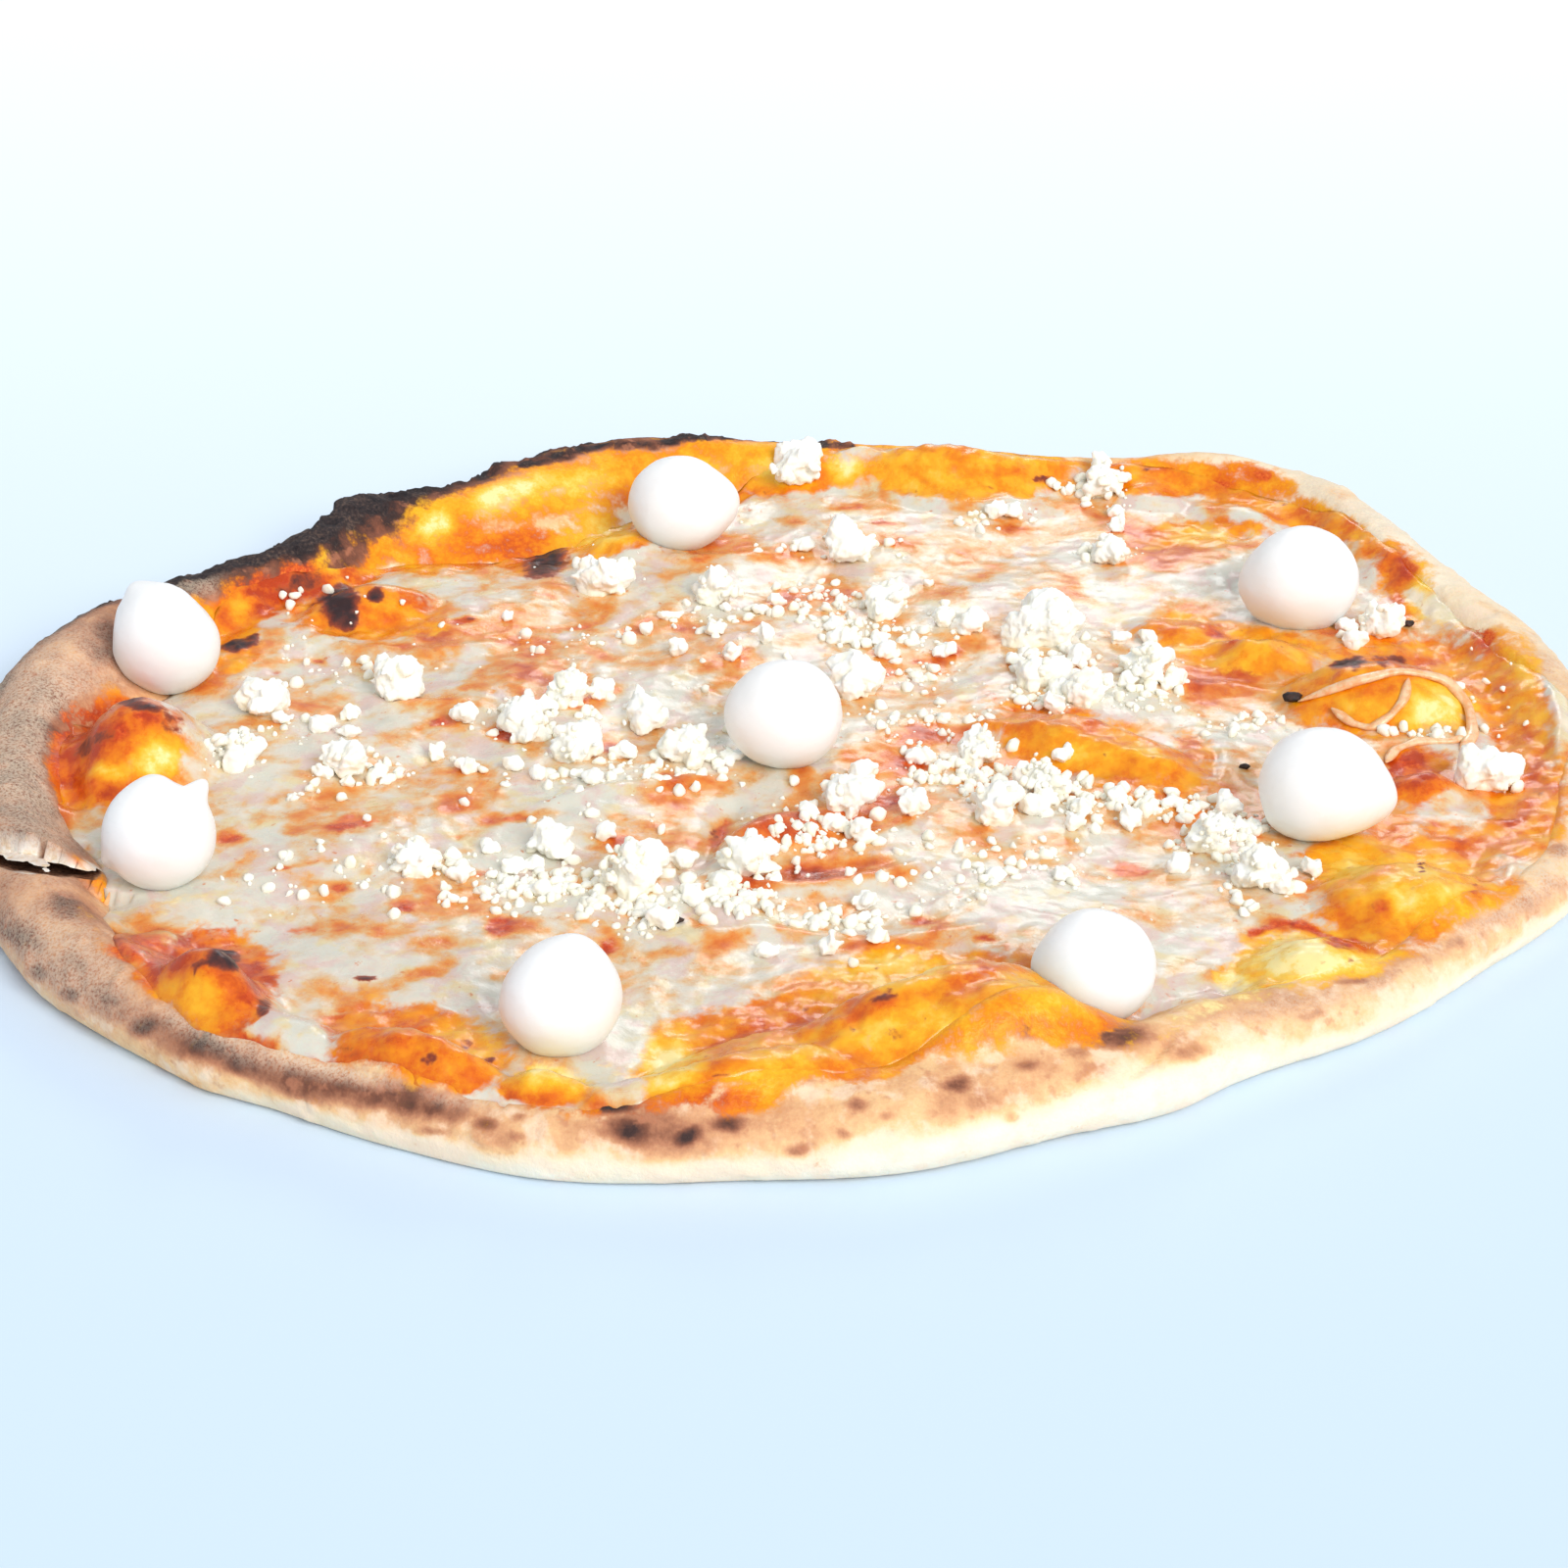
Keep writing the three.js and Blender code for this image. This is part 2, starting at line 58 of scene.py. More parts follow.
# ---------------------------------------------------------------- sizes shared with the solids
PLAN_MIDDLE = np.array([-0.2, -2.9])  # the plan's point that is the part's origin
DOUGH_FLOOR = 5.2
CHEESE_FULL = 2.3
CHEESE_TAPER = 11.0
GAP = 0.3
RIM_FOOT = 13.0
FOOT_PAST_CHEESE = 3.0
RELIEF_FADE = 5.0
WAVE_START = 12.0
WAVE_FADE = 20.0
BLISTER_POWER = 1.4
SIDE_SHARE = 0.42
TUCK_SHARE = 0.45
OUTLINE_RIPPLE = (0.6, 17, 1.3)
CHEESE_RIPPLE = (0.9, 13, 0)
CREST_RIPPLE = (0.4, 11, 0.5)

# Rim stations: bearing in degrees from +X, outline radius, crest height, and how far in from
# the outline the crest and the edge of the cheese lie.
RIM = np.array([
    (-180, 161, 15, 13, 19), (-168, 161.5, 15, 12, 20), (-158, 161.5, 14.5, 11, 24),
    (-149, 160, 14, 10, 17), (-140, 158.5, 13.5, 9, 7.5), (-131, 156, 12.5, 8, 4),
    (-125, 152.5, 12, 7, 3.5), (-117, 153, 11, 7, 4), (-108, 152.5, 12, 8, 6.5),
    (-98, 150, 13, 9, 8), (-90, 148, 14, 11, 10), (-81, 146.5, 15, 13, 16),
    (-71, 143, 15, 13, 19), (-63, 142, 13, 11, 18), (-57, 140, 12, 10, 20),
    (-48, 142.5, 11.5, 9, 12), (-37, 145, 10, 7, 8), (-25, 152, 10, 7, 8),
    (-12, 157.5, 11, 8, 9), (3, 160, 12, 9, 8), (14, 161, 13, 10, 14),
    (26, 160.5, 13, 10, 12), (38, 166, 14, 10, 13), (47, 171, 14, 10, 15),
    (54, 167, 15, 9, 13), (61, 154, 12.5, 7, 8), (67, 146, 14, 9, 7),
    (80, 142, 14.5, 9, 6), (90, 141.5, 15, 9, 13), (101, 145, 15.5, 9, 22),
    (113, 143.5, 16, 10, 31), (124, 138.5, 15.5, 9, 28), (134, 142.5, 15.5, 9, 20),
    (144, 138.5, 15, 8, 14), (154, 147, 15, 9, 14), (163, 156, 16, 12, 26),
    (172, 159.5, 16, 13, 32),
])
BEARING, RADIUS, CREST, CREST_INSET, CHEESE_INSET = range(5)

# Blisters, folds and one pit: centre x and y, half length, half width, turn, height.
BLISTERS = (
    (-126, -10, 17, 19, 0, 12.5), (-98.5, -103, 12, 10, -40, 7), (-112, -81, 7, 5, -40, 2),
    (-63, -126, 17, 10, -22, 6.5), (-41, -134, 8, 6, -10, 3), (-3, -126, 30, 15, 24, 6.5),
    (30, -113, 31, 18, 16, 14.5), (110, -67, 18, 15, 20, 7), (90, -88, 13, 10, 20, 4),
    (117, 15.5, 22, 15, 0, 8.5), (119, -23, 10, 8, 0, 4.5), (-88.5, 59, 16, 9, 15, 5),
    (57, -3, 26, 10, -32, 5), (79, 49, 12, 8, -20, 3), (96, 35, 13, 9, 0, 3.5),
    (-3, -41, 15, 8, 28, 3.5), (38, 119, 24, 12, -16, 4), (77.5, 119, 12, 9, -30, 3),
    (99, 108.5, 14, 11, -40, 3.5), (-33, 91, 14, 8, 10, 3), (-94, 98, 8, 5, 40, 2.5),
    (-64, 120, 6, 5, 30, 2), (-52, 87, 6, 5, 0, -1.8),
)
WAVES = ((0.11, 0.05, 0.4, 0.45), (-0.06, 0.13, 2.1, 0.45), (0.19, -0.16, 4.0, 0.25))
SLIT = dict(x=-140, y=-56, z=10.8, length=34, height=2.6, depth=10, turn=-20, tip=-24)
SLIT_LIFT = 2.6
SLIT_DROP = 1.8
SLIT_FADE = 9.0
SLIT_OPEN = 0.9  # the share of its height that the hanging crumb leaves open

# Fresh mozzarella balls: x, y and height of the middle, half width, half height.
BALLS = (
    (-23.5, 94.5, 17, 11.8, 10.4), (-125, 26, 17.5, 10.8, 11.6), (105, 56, 17, 12.3, 11),
    (-1.7, -7.8, 17, 11.2, 10.6), (99, -37.5, 17, 12.3, 10.9),
    (-115.3, -56.5, 17, 10.4, 10.2), (-39.4, -114.4, 17, 10.5, 10.6),
    (51.2, -103.6, 16.5, 10.5, 10.2),
)
# Lumps of crumbled cheese: x, y, width.
LUMPS = (
    (0.7, 124.6, 12.6), (-39.6, 69.4, 12.2), (-78.5, 20.1, 12), (-104.4, 11, 11),
    (12.6, 86.1, 11), (-16.1, 63.5, 9.4), (-44.2, 14.8, 9.6), (-29.7, 6.9, 11),
    (-52.6, 1.8, 10.4), (-41.6, -8.5, 11), (-20.7, -9.5, 10.4), (13.5, 21.5, 11.5),
    (10.8, -29.1, 10.4), (-8.9, -54.5, 11), (-44.4, -45.4, 9.2), (-29.4, -61, 13),
    (67.6, 84.5, 9), (37.8, -34, 11.6), (47.5, -22, 10), (36.2, -8.5, 9.2),
    (52.6, 44.3, 13.6), (49, 24, 9.4), (59, 15.5, 8.6), (71.5, 26, 11), (85, -60, 10.6),
    (78, -45.5, 9.8), (132.7, -20.3, 12), (121.5, 47.5, 9.6), (-69.5, -53, 9),
    (-85.5, -15, 9.4), (-106.5, -11, 9.6), (69, 118, 9.4), (20, 58.6, 11),
)
# The crumbs fused to the cheese: where they are thick on the ground, and how they are drawn.
CRUMB_PATCHES = (
    (-18, 44, 15, 4), (22, 52, 16, 5), (60, 34, 18, 5), (-48, -2, 20, 4), (-30, -58, 20, 5),
    (-62, -56, 16, 2), (12, -32, 18, 4), (50, -26, 18, 5), (84, -48, 16, 3),
    (-84, -10, 20, 3), (8, -68, 24, 3), (60, 108, 14, 2),
)
CRUMB_WIDTH = (4.2, 6.6)
CRUMB_CLEARANCE = 0.6
CRUMB_TRIES = 400
CRUMB_SEED = 4127
CRUMB_BITE = 1.1
# The cheese string that the solids have: x and y along it.
STRING = ((100, 12), (110.5, 11), (120, 12.5), (129.5, 14), (133.5, 9.5), (133, 0), (129.5, -6.5))


# ---------------------------------------------------------------- numbers and noise
def smooth(t):
    c = np.clip(t, 0.0, 1.0)
    return c * c * (3 - 2 * c)


def gradient_noise(points, seed):
    """Perlin noise, about -1 to 1, at points given in cells of its lattice."""
    rng = np.random.default_rng(seed)
    arrows = rng.normal(size=(256, 3))
    arrows /= np.linalg.norm(arrows, axis=1, keepdims=True)
    order = rng.permutation(256)
    cell = np.floor(points).astype(np.int64)
    part = points - cell
    ease = part * part * part * (part * (part * 6 - 15) + 10)
    total = np.zeros(len(points))
    for corner in range(8):
        step = np.array([corner & 1, corner >> 1 & 1, corner >> 2 & 1])
        i, j, k = ((cell + step) & 255).T
        arrow = arrows[order[(order[(order[i] + j) & 255] + k) & 255]]
        weight = np.where(step == 1, ease, 1 - ease).prod(axis=1)
        total += weight * ((part - step) * arrow).sum(axis=1)
    return 1.6 * total


def noise(points, size, seed, octaves=3):
    """Several layers of noise whose largest swells are `size` millimetres across."""
    at = points / size
    total, share = np.zeros(len(points)), 1.0
    for octave in range(octaves):
        total += share * gradient_noise(at * 2**octave + 17.3 * octave, seed + octave)
        share /= 2
    return total


def ridges(points, size, seed, octaves=2):
    """Sharp crests, 1 on the crest and 0 far from it."""
    return 1 - np.clip(np.abs(noise(points, size, seed, octaves)) * 2.2, 0, 1)


def whole_number_draws(seed):
    """The solids' own repeatable random numbers between 0 and 1."""
    state = seed
    while True:
        state = (state * 1664525 + 1013904223) % 4294967296
        yield state / 4294967296


# ---------------------------------------------------------------- the form, as the solids have it
def rim_at(bearing, column):
    """One column of the rim stations at bearings in radians, as a smooth closed curve."""
    count = len(RIM)
    degrees = (np.degrees(bearing) + 180) % 360 - 180
    k = np.searchsorted(RIM[:, BEARING], degrees, side="right") - 1

    def place(i):
        return RIM[i % count, BEARING] + 360 * (i // count)

    def slope(i):
        rise = RIM[(i + 1) % count, column] - RIM[(i - 1) % count, column]
        return rise / (place(i + 1) - place(i - 1))

    span = place(k + 1) - place(k)
    t = (degrees - place(k)) / span
    rise = t * t * (3 - 2 * t)
    level = RIM[k % count, column] * (1 - rise) + RIM[(k + 1) % count, column] * rise
    bend = slope(k) * t * (1 - t) * (1 - t) - slope(k + 1) * t * t * (1 - t)
    return level + span * bend


def ripple(form, bearing):
    height, waves, phase = form
    return height * np.sin(waves * bearing + phase)


def outline(bearing):
    return rim_at(bearing, RADIUS) + ripple(OUTLINE_RIPPLE, bearing)


def cheese_edge(bearing):
    return outline(bearing) - rim_at(bearing, CHEESE_INSET) + ripple(CHEESE_RIPPLE, bearing)


def rim_profile(bearing, inset):
    """Height of the plain rim and floor, at a distance in from the outline."""
    crest = rim_at(bearing, CREST) + ripple(CREST_RIPPLE, bearing)
    crest_inset = rim_at(bearing, CREST_INSET)
    side = SIDE_SHARE * crest
    out = np.clip((crest_inset - np.maximum(inset, 0)) / crest_inset, 0, 1)
    outer = side + (crest - side) * np.sqrt(1 - out * out)
    foot = np.maximum(rim_at(bearing, CHEESE_INSET) + FOOT_PAST_CHEESE, crest_inset + RIM_FOOT)
    down = smooth((inset - crest_inset) / (foot - crest_inset))
    return np.where(inset < crest_inset, outer, crest + (DOUGH_FLOOR - crest) * down)


def blister_rise(x, y):
    rise = np.zeros_like(x)
    for cx, cy, half_length, half_width, turn, height in BLISTERS:
        c, s = math.cos(math.radians(turn)), math.sin(math.radians(turn))
        along = ((x - cx) * c + (y - cy) * s) / half_length
        across = ((y - cy) * c - (x - cx) * s) / half_width
        rise += height * np.maximum(1 - along**2 - across**2, 0) ** BLISTER_POWER
    return rise


def slit_frame(x, y):
    """How far points of the plan lie along the torn slit, and behind it."""
    c, s = math.cos(math.radians(SLIT["turn"])), math.sin(math.radians(SLIT["turn"]))
    x, y = x - SLIT["x"], y - SLIT["y"]
    return x * c + y * s, y * c - x * s


def slit_step(x, y):
    """The lifted lip behind the torn slit and the sunken crust before it."""
    along, behind = slit_frame(x, y)
    fade = smooth(1.6 - np.abs(along) / (SLIT["length"] / 2)) * np.exp(-np.abs(behind) / SLIT_FADE)
    return fade * np.where(behind > 0, SLIT_LIFT, -SLIT_DROP)


def dough_top(x, y):
    bearing = np.arctan2(y, x)
    inset = outline(bearing) - np.hypot(x, y)
    wave = sum(h * np.sin(kx * x + ky * y + phase) for kx, ky, phase, h in WAVES)
    relief = (blister_rise(x, y) + slit_step(x, y)) * smooth(inset / RELIEF_FADE)
    return rim_profile(bearing, inset) + relief + wave * smooth((inset - WAVE_START) / WAVE_FADE)


def cheese_lift(x, y, edge):
    """How high the melted cheese stands over the dough: a thin bead at its edge, then full."""
    inside = edge - np.hypot(x, y)
    bead = (GAP + 0.85) * smooth((inside + 0.4) / 2.6)
    return -0.35 + bead + (CHEESE_FULL - 0.5) * smooth(inside / CHEESE_TAPER)


def surface_top(x, y):
    """The visible top at a point of the plan, dough or cheese, whichever lies there."""
    x, y = np.asarray(x, float), np.asarray(y, float)
    edge = cheese_edge(np.arctan2(y, x))
    return dough_top(x, y) + np.maximum(cheese_lift(x, y, edge), 0)


def photo_place(points):
    """Where points of the plan are in the photograph, in pixels."""
    away = points - CAMERA - np.array([*PLAN_MIDDLE, 0])
    tilt = math.radians(CAMERA_TILT)
    depth = away[:, 1] * math.sin(tilt) - away[:, 2] * math.cos(tilt)
    up = away[:, 1] * math.cos(tilt) + away[:, 2] * math.sin(tilt)
    right = PHOTO_MIDDLE + FOCAL_PIXELS * away[:, 0] / depth
    return right, PHOTO_MIDDLE - FOCAL_PIXELS * up / depth


def plan_place(across, down):
    """The point of the pizza's top that the photograph shows at a pixel: x, y, z."""
    tilt = math.radians(CAMERA_TILT)
    right = (np.asarray(across, float) - PHOTO_MIDDLE) / FOCAL_PIXELS
    up = (PHOTO_MIDDLE - np.asarray(down, float)) / FOCAL_PIXELS
    ray_y = math.sin(tilt) + up * math.cos(tilt)
    ray_z = up * math.sin(tilt) - math.cos(tilt)
    z = np.full_like(right, 10.0)
    for _ in range(6):
        reach = (z - CAMERA[2]) / ray_z
        x = CAMERA[0] + PLAN_MIDDLE[0] + right * reach
        y = CAMERA[1] + PLAN_MIDDLE[1] + ray_y * reach
        z = 0.5 * z + 0.5 * surface_top(x, y)
    return x, y, surface_top(x, y)


# ---------------------------------------------------------------- what the photograph shows where
# Spots as ellipses: across, down, half width, half height, turn (clockwise in degrees) and
# strength. The last two are left out where they are 0 and 1. Groups say where the spots lie.
ALWAYS_GIVEN = 4
USUAL_TURN_AND_STRENGTH = (0, 1)
GOLDEN = {
    "back left": (
        (315, 585, 66, 34, -18), (450, 545, 62, 24, -20), (262, 596, 60, 36, -22),
        (470, 566, 66, 16, -12),
    ),
    "back": (
        (540, 505, 82, 30, -12), (640, 486, 80, 34), (615, 547, 48, 24, 0, 0.9), (545, 560, 46, 26, 10),
        (800, 482, 70, 26), (980, 480, 118, 30, 3),
    ),
    "back right": (
        (1180, 488, 74, 18, 3), (1262, 494, 66, 24, 6), (1335, 528, 62, 14, 12),
        (1225, 545, 72, 16, -6, 0.8), (1436, 590, 32, 48, -14),
    ),
    "left": (
        (126, 766, 64, 56), (90, 812, 34, 16), (238, 632, 30, 36, -20), (240, 676, 22, 12, -20),
        (372, 628, 78, 26), (68, 784, 20, 40), (425, 630, 34, 24, 10, 0.7), (175, 925, 50, 14, 0, 0.2),
    ),
    "middle": ((1110, 764, 106, 34, 17),),
    "right": (
        (1262, 660, 100, 28, 10), (1425, 700, 112, 52, -4), (1545, 720, 40, 80, -12),
        (1560, 820, 44, 60, 14), (1450, 790, 40, 30), (1440, 905, 112, 68, 4),
        (1186, 800, 56, 26, 10, 0.9), (1216, 775, 30, 30, 0, 0.8), (1210, 782, 24, 24, 0, 0.8),
    ),
    "front left": ((425, 1068, 98, 44, 10), (222, 1000, 62, 52, 24), (164, 1000, 30, 28)),
    "front": (
        (705, 1085, 60, 44, -35), (800, 1062, 110, 48, -14), (960, 1030, 110, 52, -10),
        (1085, 1030, 76, 46, 14), (905, 992, 62, 24, -6, 0.9), (556, 1110, 50, 20, 8),
        (905, 1005, 130, 30, -10), (896, 1080, 70, 20, -14), (760, 1122, 50, 18, -20),
        (590, 1092, 66, 16, 4, 0.25),
    ),
    "front right": ((1340, 975, 84, 34, -4, 0.85), (1262, 1000, 26, 20, 0, 0.7)),
}
# Where the golden parts run to yellow or cream instead of orange; a few spots on the oily back slope and
# bulge are painted highlights.
YELLOW = {
    # the first spot is a painted highlight on the oily slope
    "back left": ((441, 537, 22, 15, -20), (339, 568, 20, 12, -20, 0.8), (243, 615, 12, 12, 0, 0.6)),
    # the spots at 515, 504 and at 860, 476 are painted highlights on the oily slope and bulge
    "back": (
        (515, 504, 38, 12, -20), (600, 495, 50, 16, -4, 0.6), (790, 480, 26, 16, 0, 0.8),
        (860, 476, 17, 13, 0, 0.9), (926, 489, 20, 10, 0, 0.6), (990, 478, 120, 26, 3, 0.4),
        (620, 492, 190, 22, -10, 0.3), (612, 545, 38, 16, 0, 0.6),
    ),
    "back right": ((1450, 604, 16, 24, 0, 0.8), (1235, 548, 40, 10, 0, 0.5)),
    "left": ((160, 774, 22, 20), (115, 786, 18, 8, 0, 0.8), (175, 925, 60, 20)),
    "middle": ((1105, 770, 32, 18, 17, 0.45),),
    "right": (
        (1468, 726, 34, 24, 0, 0.9), (1390, 724, 24, 14, 0, 0.4), (1557, 690, 30, 60, 0, 0.3),
        (1450, 905, 62, 34, 6, 0.55), (1375, 880, 34, 26, 0, 0.6), (1262, 660, 100, 28, 10, 0.4),
        (1170, 772, 36, 13, 12, 0.35), (1480, 622, 36, 16, 10),
    ),
    "front left": ((206, 1013, 24, 18, 10, 0.25),),
    "front": (
        (682, 1082, 30, 30, -35, 0.9), (790, 1082, 70, 16, -14, 0.35), (930, 1045, 70, 20, -12, 0.5),
        (1075, 1012, 50, 22, 8, 0.5), (905, 990, 60, 20, -6, 0.6), (482, 1060, 30, 20, 10, 0.4),
        (560, 1108, 30, 9, 8, 0.4), (590, 1092, 66, 20, 4),
    ),
    "front right": ((1330, 978, 74, 26, -4), (1236, 1026, 70, 26, -20)),
}
# Where the melted cheese is thin and the sauce shines through, and where it is thick and white.
THIN = {
    "back": (
        (907, 585, 26, 11, -4, 0.8), (1001, 590, 18, 7, 0, 0.8), (984, 519, 16, 7, 0, 0.7),
        (815, 533, 26, 6, 0, 0.8), (1030, 543, 26, 6, 0, 0.8), (850, 560, 120, 22, 0, 0.6),
    ),
    "back right": ((1180, 560, 90, 26, 0, 0.75),),
    "left": (
        (470, 822, 30, 10, -5, 0.8), (455, 924, 40, 14, -14, 0.8), (440, 904, 56, 24, -10, 0.95),
        (380, 842, 60, 16, -8, 0.7), (390, 650, 120, 22, 4, 0.8), (250, 690, 50, 18, 0, 0.7),
        (330, 720, 40, 18, 0, 0.7),
    ),
    "middle": (
        (546, 690, 22, 11, 8, 0.9), (572, 679, 26, 9, 8), (494, 684, 10, 13, 20, 0.8),
        (512, 752, 24, 11, 10, 0.9), (630, 765, 16, 8, 5, 0.9), (552, 832, 34, 7, -4, 0.8),
        (617, 866, 26, 5, 0, 0.7), (960, 682, 18, 11, 0, 0.9), (845, 898, 52, 8, -6, 0.9),
        (1110, 845, 40, 14, 10, 0.6), (815, 835, 50, 22, 8, 0.7), (700, 872, 32, 12, 40, 0.6),
        (668, 858, 74, 26, 14, 0.9), (786, 842, 70, 24, -8), (832, 896, 96, 15, -6),
        (900, 830, 60, 22, -10, 0.8), (560, 668, 90, 20, 0, 0.75), (1150, 640, 60, 22, 0, 0.7),
        (1020, 690, 90, 22, 0, 0.7), (1150, 826, 90, 26, 6, 0.8), (930, 690, 80, 22, 0, 0.7),
        (700, 640, 110, 22, 0, 0.6), (700, 790, 60, 24, 0, 0.6), (900, 770, 50, 30, 0, 0.6),
    ),
    "right": (
        (1186, 636, 26, 20, 10, 0.8), (1240, 838, 34, 14, 0, 0.9), (1240, 690, 130, 42, 8, 0.9),
        (1262, 800, 34, 34, 0, 0.95), (1300, 850, 60, 16, 0, 0.7),
    ),
    "front left": ((441, 991, 32, 8, -15, 0.9), (470, 960, 60, 12, -12, 0.7)),
    "front": ((780, 960, 120, 10, -8, 0.6),),
}
MILKY = {
    "back": ((720, 590, 90, 20, 0, 0.7), (1010, 610, 90, 18, 0, 0.7), (1130, 590, 80, 24, 0, 0.7)),
    "left": ((240, 770, 70, 36), (230, 905, 90, 26, -8, 0.9)),
    "middle": (
        (1110, 920, 170, 44), (665, 735, 44, 40, 0, 0.9), (830, 905, 60, 16, 0, 0.3),
        (520, 800, 90, 16, 0, 0.6), (960, 830, 60, 20, 0, 0.5),
    ),
    "right": (
        (1290, 735, 60, 20, 0, 0.6), (1460, 830, 40, 16, 0, 0.8), (1480, 765, 50, 14, 0, 0.9),
        (1485, 622, 44, 18, 14),
    ),
    "front left": ((320, 1010, 60, 56),),
    "front": ((480, 975, 70, 20, -10, 0.8), (640, 1080, 80, 36), (720, 1005, 120, 30, -10, 0.9)),
    "front right": ((1210, 950, 50, 34),),
}
# Where the golden parts are a deep orange.
DEEP = {
    "back left": ((300, 590, 60, 30, -18),),
    "back": ((1010, 484, 70, 18, 4, 0.5), (520, 560, 60, 22, 0, 0.5), (640, 500, 24, 34, 0, 0.7)),
    "back right": ((1430, 590, 20, 34, 0, 0.4),),
    "left": ((92, 752, 44, 34, -20),),
    "right": ((1440, 790, 40, 26, 0, 0.8), (1250, 652, 90, 20, 8, 0.5)),
    "front left": ((240, 1000, 36, 40, 0, 0.8), (392, 1070, 80, 30, 10, 0.6), (165, 975, 50, 26)),
    "front": (
        (700, 1120, 60, 14), (850, 1036, 150, 14, -10, 0.3), (570, 1124, 60, 14, 0, 0.5),
        (680, 1140, 100, 24),
    ),
}
# Folds and furrows of the melted cheese: a line, half width and height in millimetres.
FOLDS = {
    "golden fold": (((1003, 744), (1050, 747), (1100, 764), (1150, 777), (1192, 788)), 3.0, 1.6),
    "fold's furrow": (((1000, 728), (1060, 730), (1110, 742), (1160, 757)), 2.4, -0.8),
    "middle ridge": (((748, 866), (778, 842), (815, 832), (850, 832)), 3.2, 1.4),
    "middle furrow": (((706, 884), (726, 866), (738, 838), (752, 822)), 2.6, -1.6),
    "below the ridge": (((740, 898), (800, 908), (860, 902), (935, 886)), 2.4, 1.0),
    "under it": (((760, 884), (830, 890), (880, 880)), 2.2, -0.8),
    "sheet's edge": (((560, 822), (620, 806), (668, 803), (716, 796)), 2.0, 0.9),
    "right fold": (((1180, 668), (1240, 660), (1300, 672), (1370, 690)), 2.6, 1.0),
    "right fold 2": (((1210, 700), (1270, 704), (1330, 700)), 2.2, 0.8),
    "back fold": (((590, 556), (640, 566), (700, 572), (780, 568)), 2.4, 0.8),
    "left fold": (((300, 640), (360, 662), (430, 668), (500, 660)), 2.4, 0.8),
    "left fold 2": (((330, 700), (400, 722), (470, 716)), 2.2, 0.7),
    "front fold": (((700, 960), (790, 950), (900, 962), (1000, 950)), 2.6, 0.8),
}
# Tomato sauce and where the cheese has browned to red.
RED = {
    "back left": (
        (252, 600, 26, 12, -22, 0.5), (300, 592, 28, 16, -20, 0.7), (430, 612, 30, 10, 16, 0.5),
    ),
    "back": (
        (960, 461, 22, 7, 4, 0.6), (1040, 480, 34, 8, 4, 0.5), (871, 517, 19, 6, -6, 0.9),
        (902, 534, 20, 5, 2, 0.8),
    ),
    "back right": (
        (1246, 496, 14, 8, 0, 0.6), (1284, 486, 14, 8, 0, 0.6), (1350, 529, 26, 5, 10, 0.5),
        (1432, 580, 10, 18, -12, 0.66), (1430, 616, 7, 12, 8, 0.7),
    ),
    "left": (
        (80, 740, 34, 20, -20, 0.6), (66, 790, 16, 40, 0, 0.55), (150, 728, 40, 13, 12, 0.7),
        (92, 806, 30, 10, 0, 0.6), (108, 752, 40, 12, -22, 0.7), (270, 622, 18, 12, 0, 0.6),
        (362, 842, 28, 8, -6), (236, 859, 13, 6, 0, 0.9), (288, 888, 18, 3, -8, 0.8),
        (329, 881, 16, 3, -8, 0.7), (344, 907, 13, 6, 0, 0.8), (474, 634, 13, 4, 0, 0.9),
        (410, 664, 12, 5, 0, 0.9), (451, 738, 18, 6, -8), (415, 923, 18, 7, 0, 0.9),
        (325, 675, 10, 4, 0, 0.8), (284, 687, 8, 4, 0, 0.8),
    ),
    "middle": (
        (589, 641, 16, 4, 0, 0.8), (601, 692, 11, 6, 20, 0.9), (512, 750, 14, 7, 8, 0.8),
        (630, 764, 12, 5, 4, 0.8), (757, 664, 18, 4, 6, 0.7), (972, 664, 14, 6, 0, 0.8),
        (1017, 706, 16, 6, 0, 0.6), (930, 781, 14, 6, 14, 0.9), (902, 818, 20, 9, 0, 0.8),
        (732, 850, 9, 20, 24, 0.9), (780, 852, 42, 14, -14, 0.6), (489, 893, 24, 7, -4, 0.9),
        (517, 836, 24, 5, 0, 0.7), (825, 900, 40, 6, -8, 0.6), (989, 882, 12, 3, 0, 0.6),
        (1130, 795, 10, 5, 0, 0.5), (700, 885, 22, 8, 40, 0.5),
    ),
    "right": (
        (1240, 645, 14, 8, 0, 0.9), (1260, 657, 12, 6, 0, 0.8), (1508, 652, 13, 14, -20, 0.75),
        (1534, 706, 8, 11, 0, 0.6), (1450, 676, 22, 7, 0, 0.6), (1440, 782, 24, 13, 0, 0.8),
        (1484, 864, 24, 9, 24, 0.6), (1409, 922, 11, 10), (1501, 914, 14, 12, 0, 0.6),
        (1412, 889, 14, 5, 0, 0.5), (1464, 839, 11, 4, 10, 0.9), (1157, 889, 26, 10),
        (1180, 642, 18, 9, 10, 0.6), (1215, 765, 10, 14, 0, 0.5),
    ),
    "front left": (
        (152, 968, 34, 19, 8), (258, 1008, 14, 30, 10, 0.6), (210, 957, 28, 10, 0, 0.5),
        (262, 1066, 24, 12, 24, 0.9), (304, 1083, 30, 8, 2), (446, 1032, 36, 7, 8, 0.4),
        (309, 950, 22, 8, -14, 0.9), (349, 948, 12, 5, 0, 0.7),
    ),
    "front": (
        (510, 947, 15, 9), (623, 965, 14, 14, 30), (1004, 959, 13, 4, 10, 0.8),
        (935, 941, 15, 5, 0, 0.8),
    ),
    "front right": ((1419, 948, 9, 12, 0, 0.5),),
}
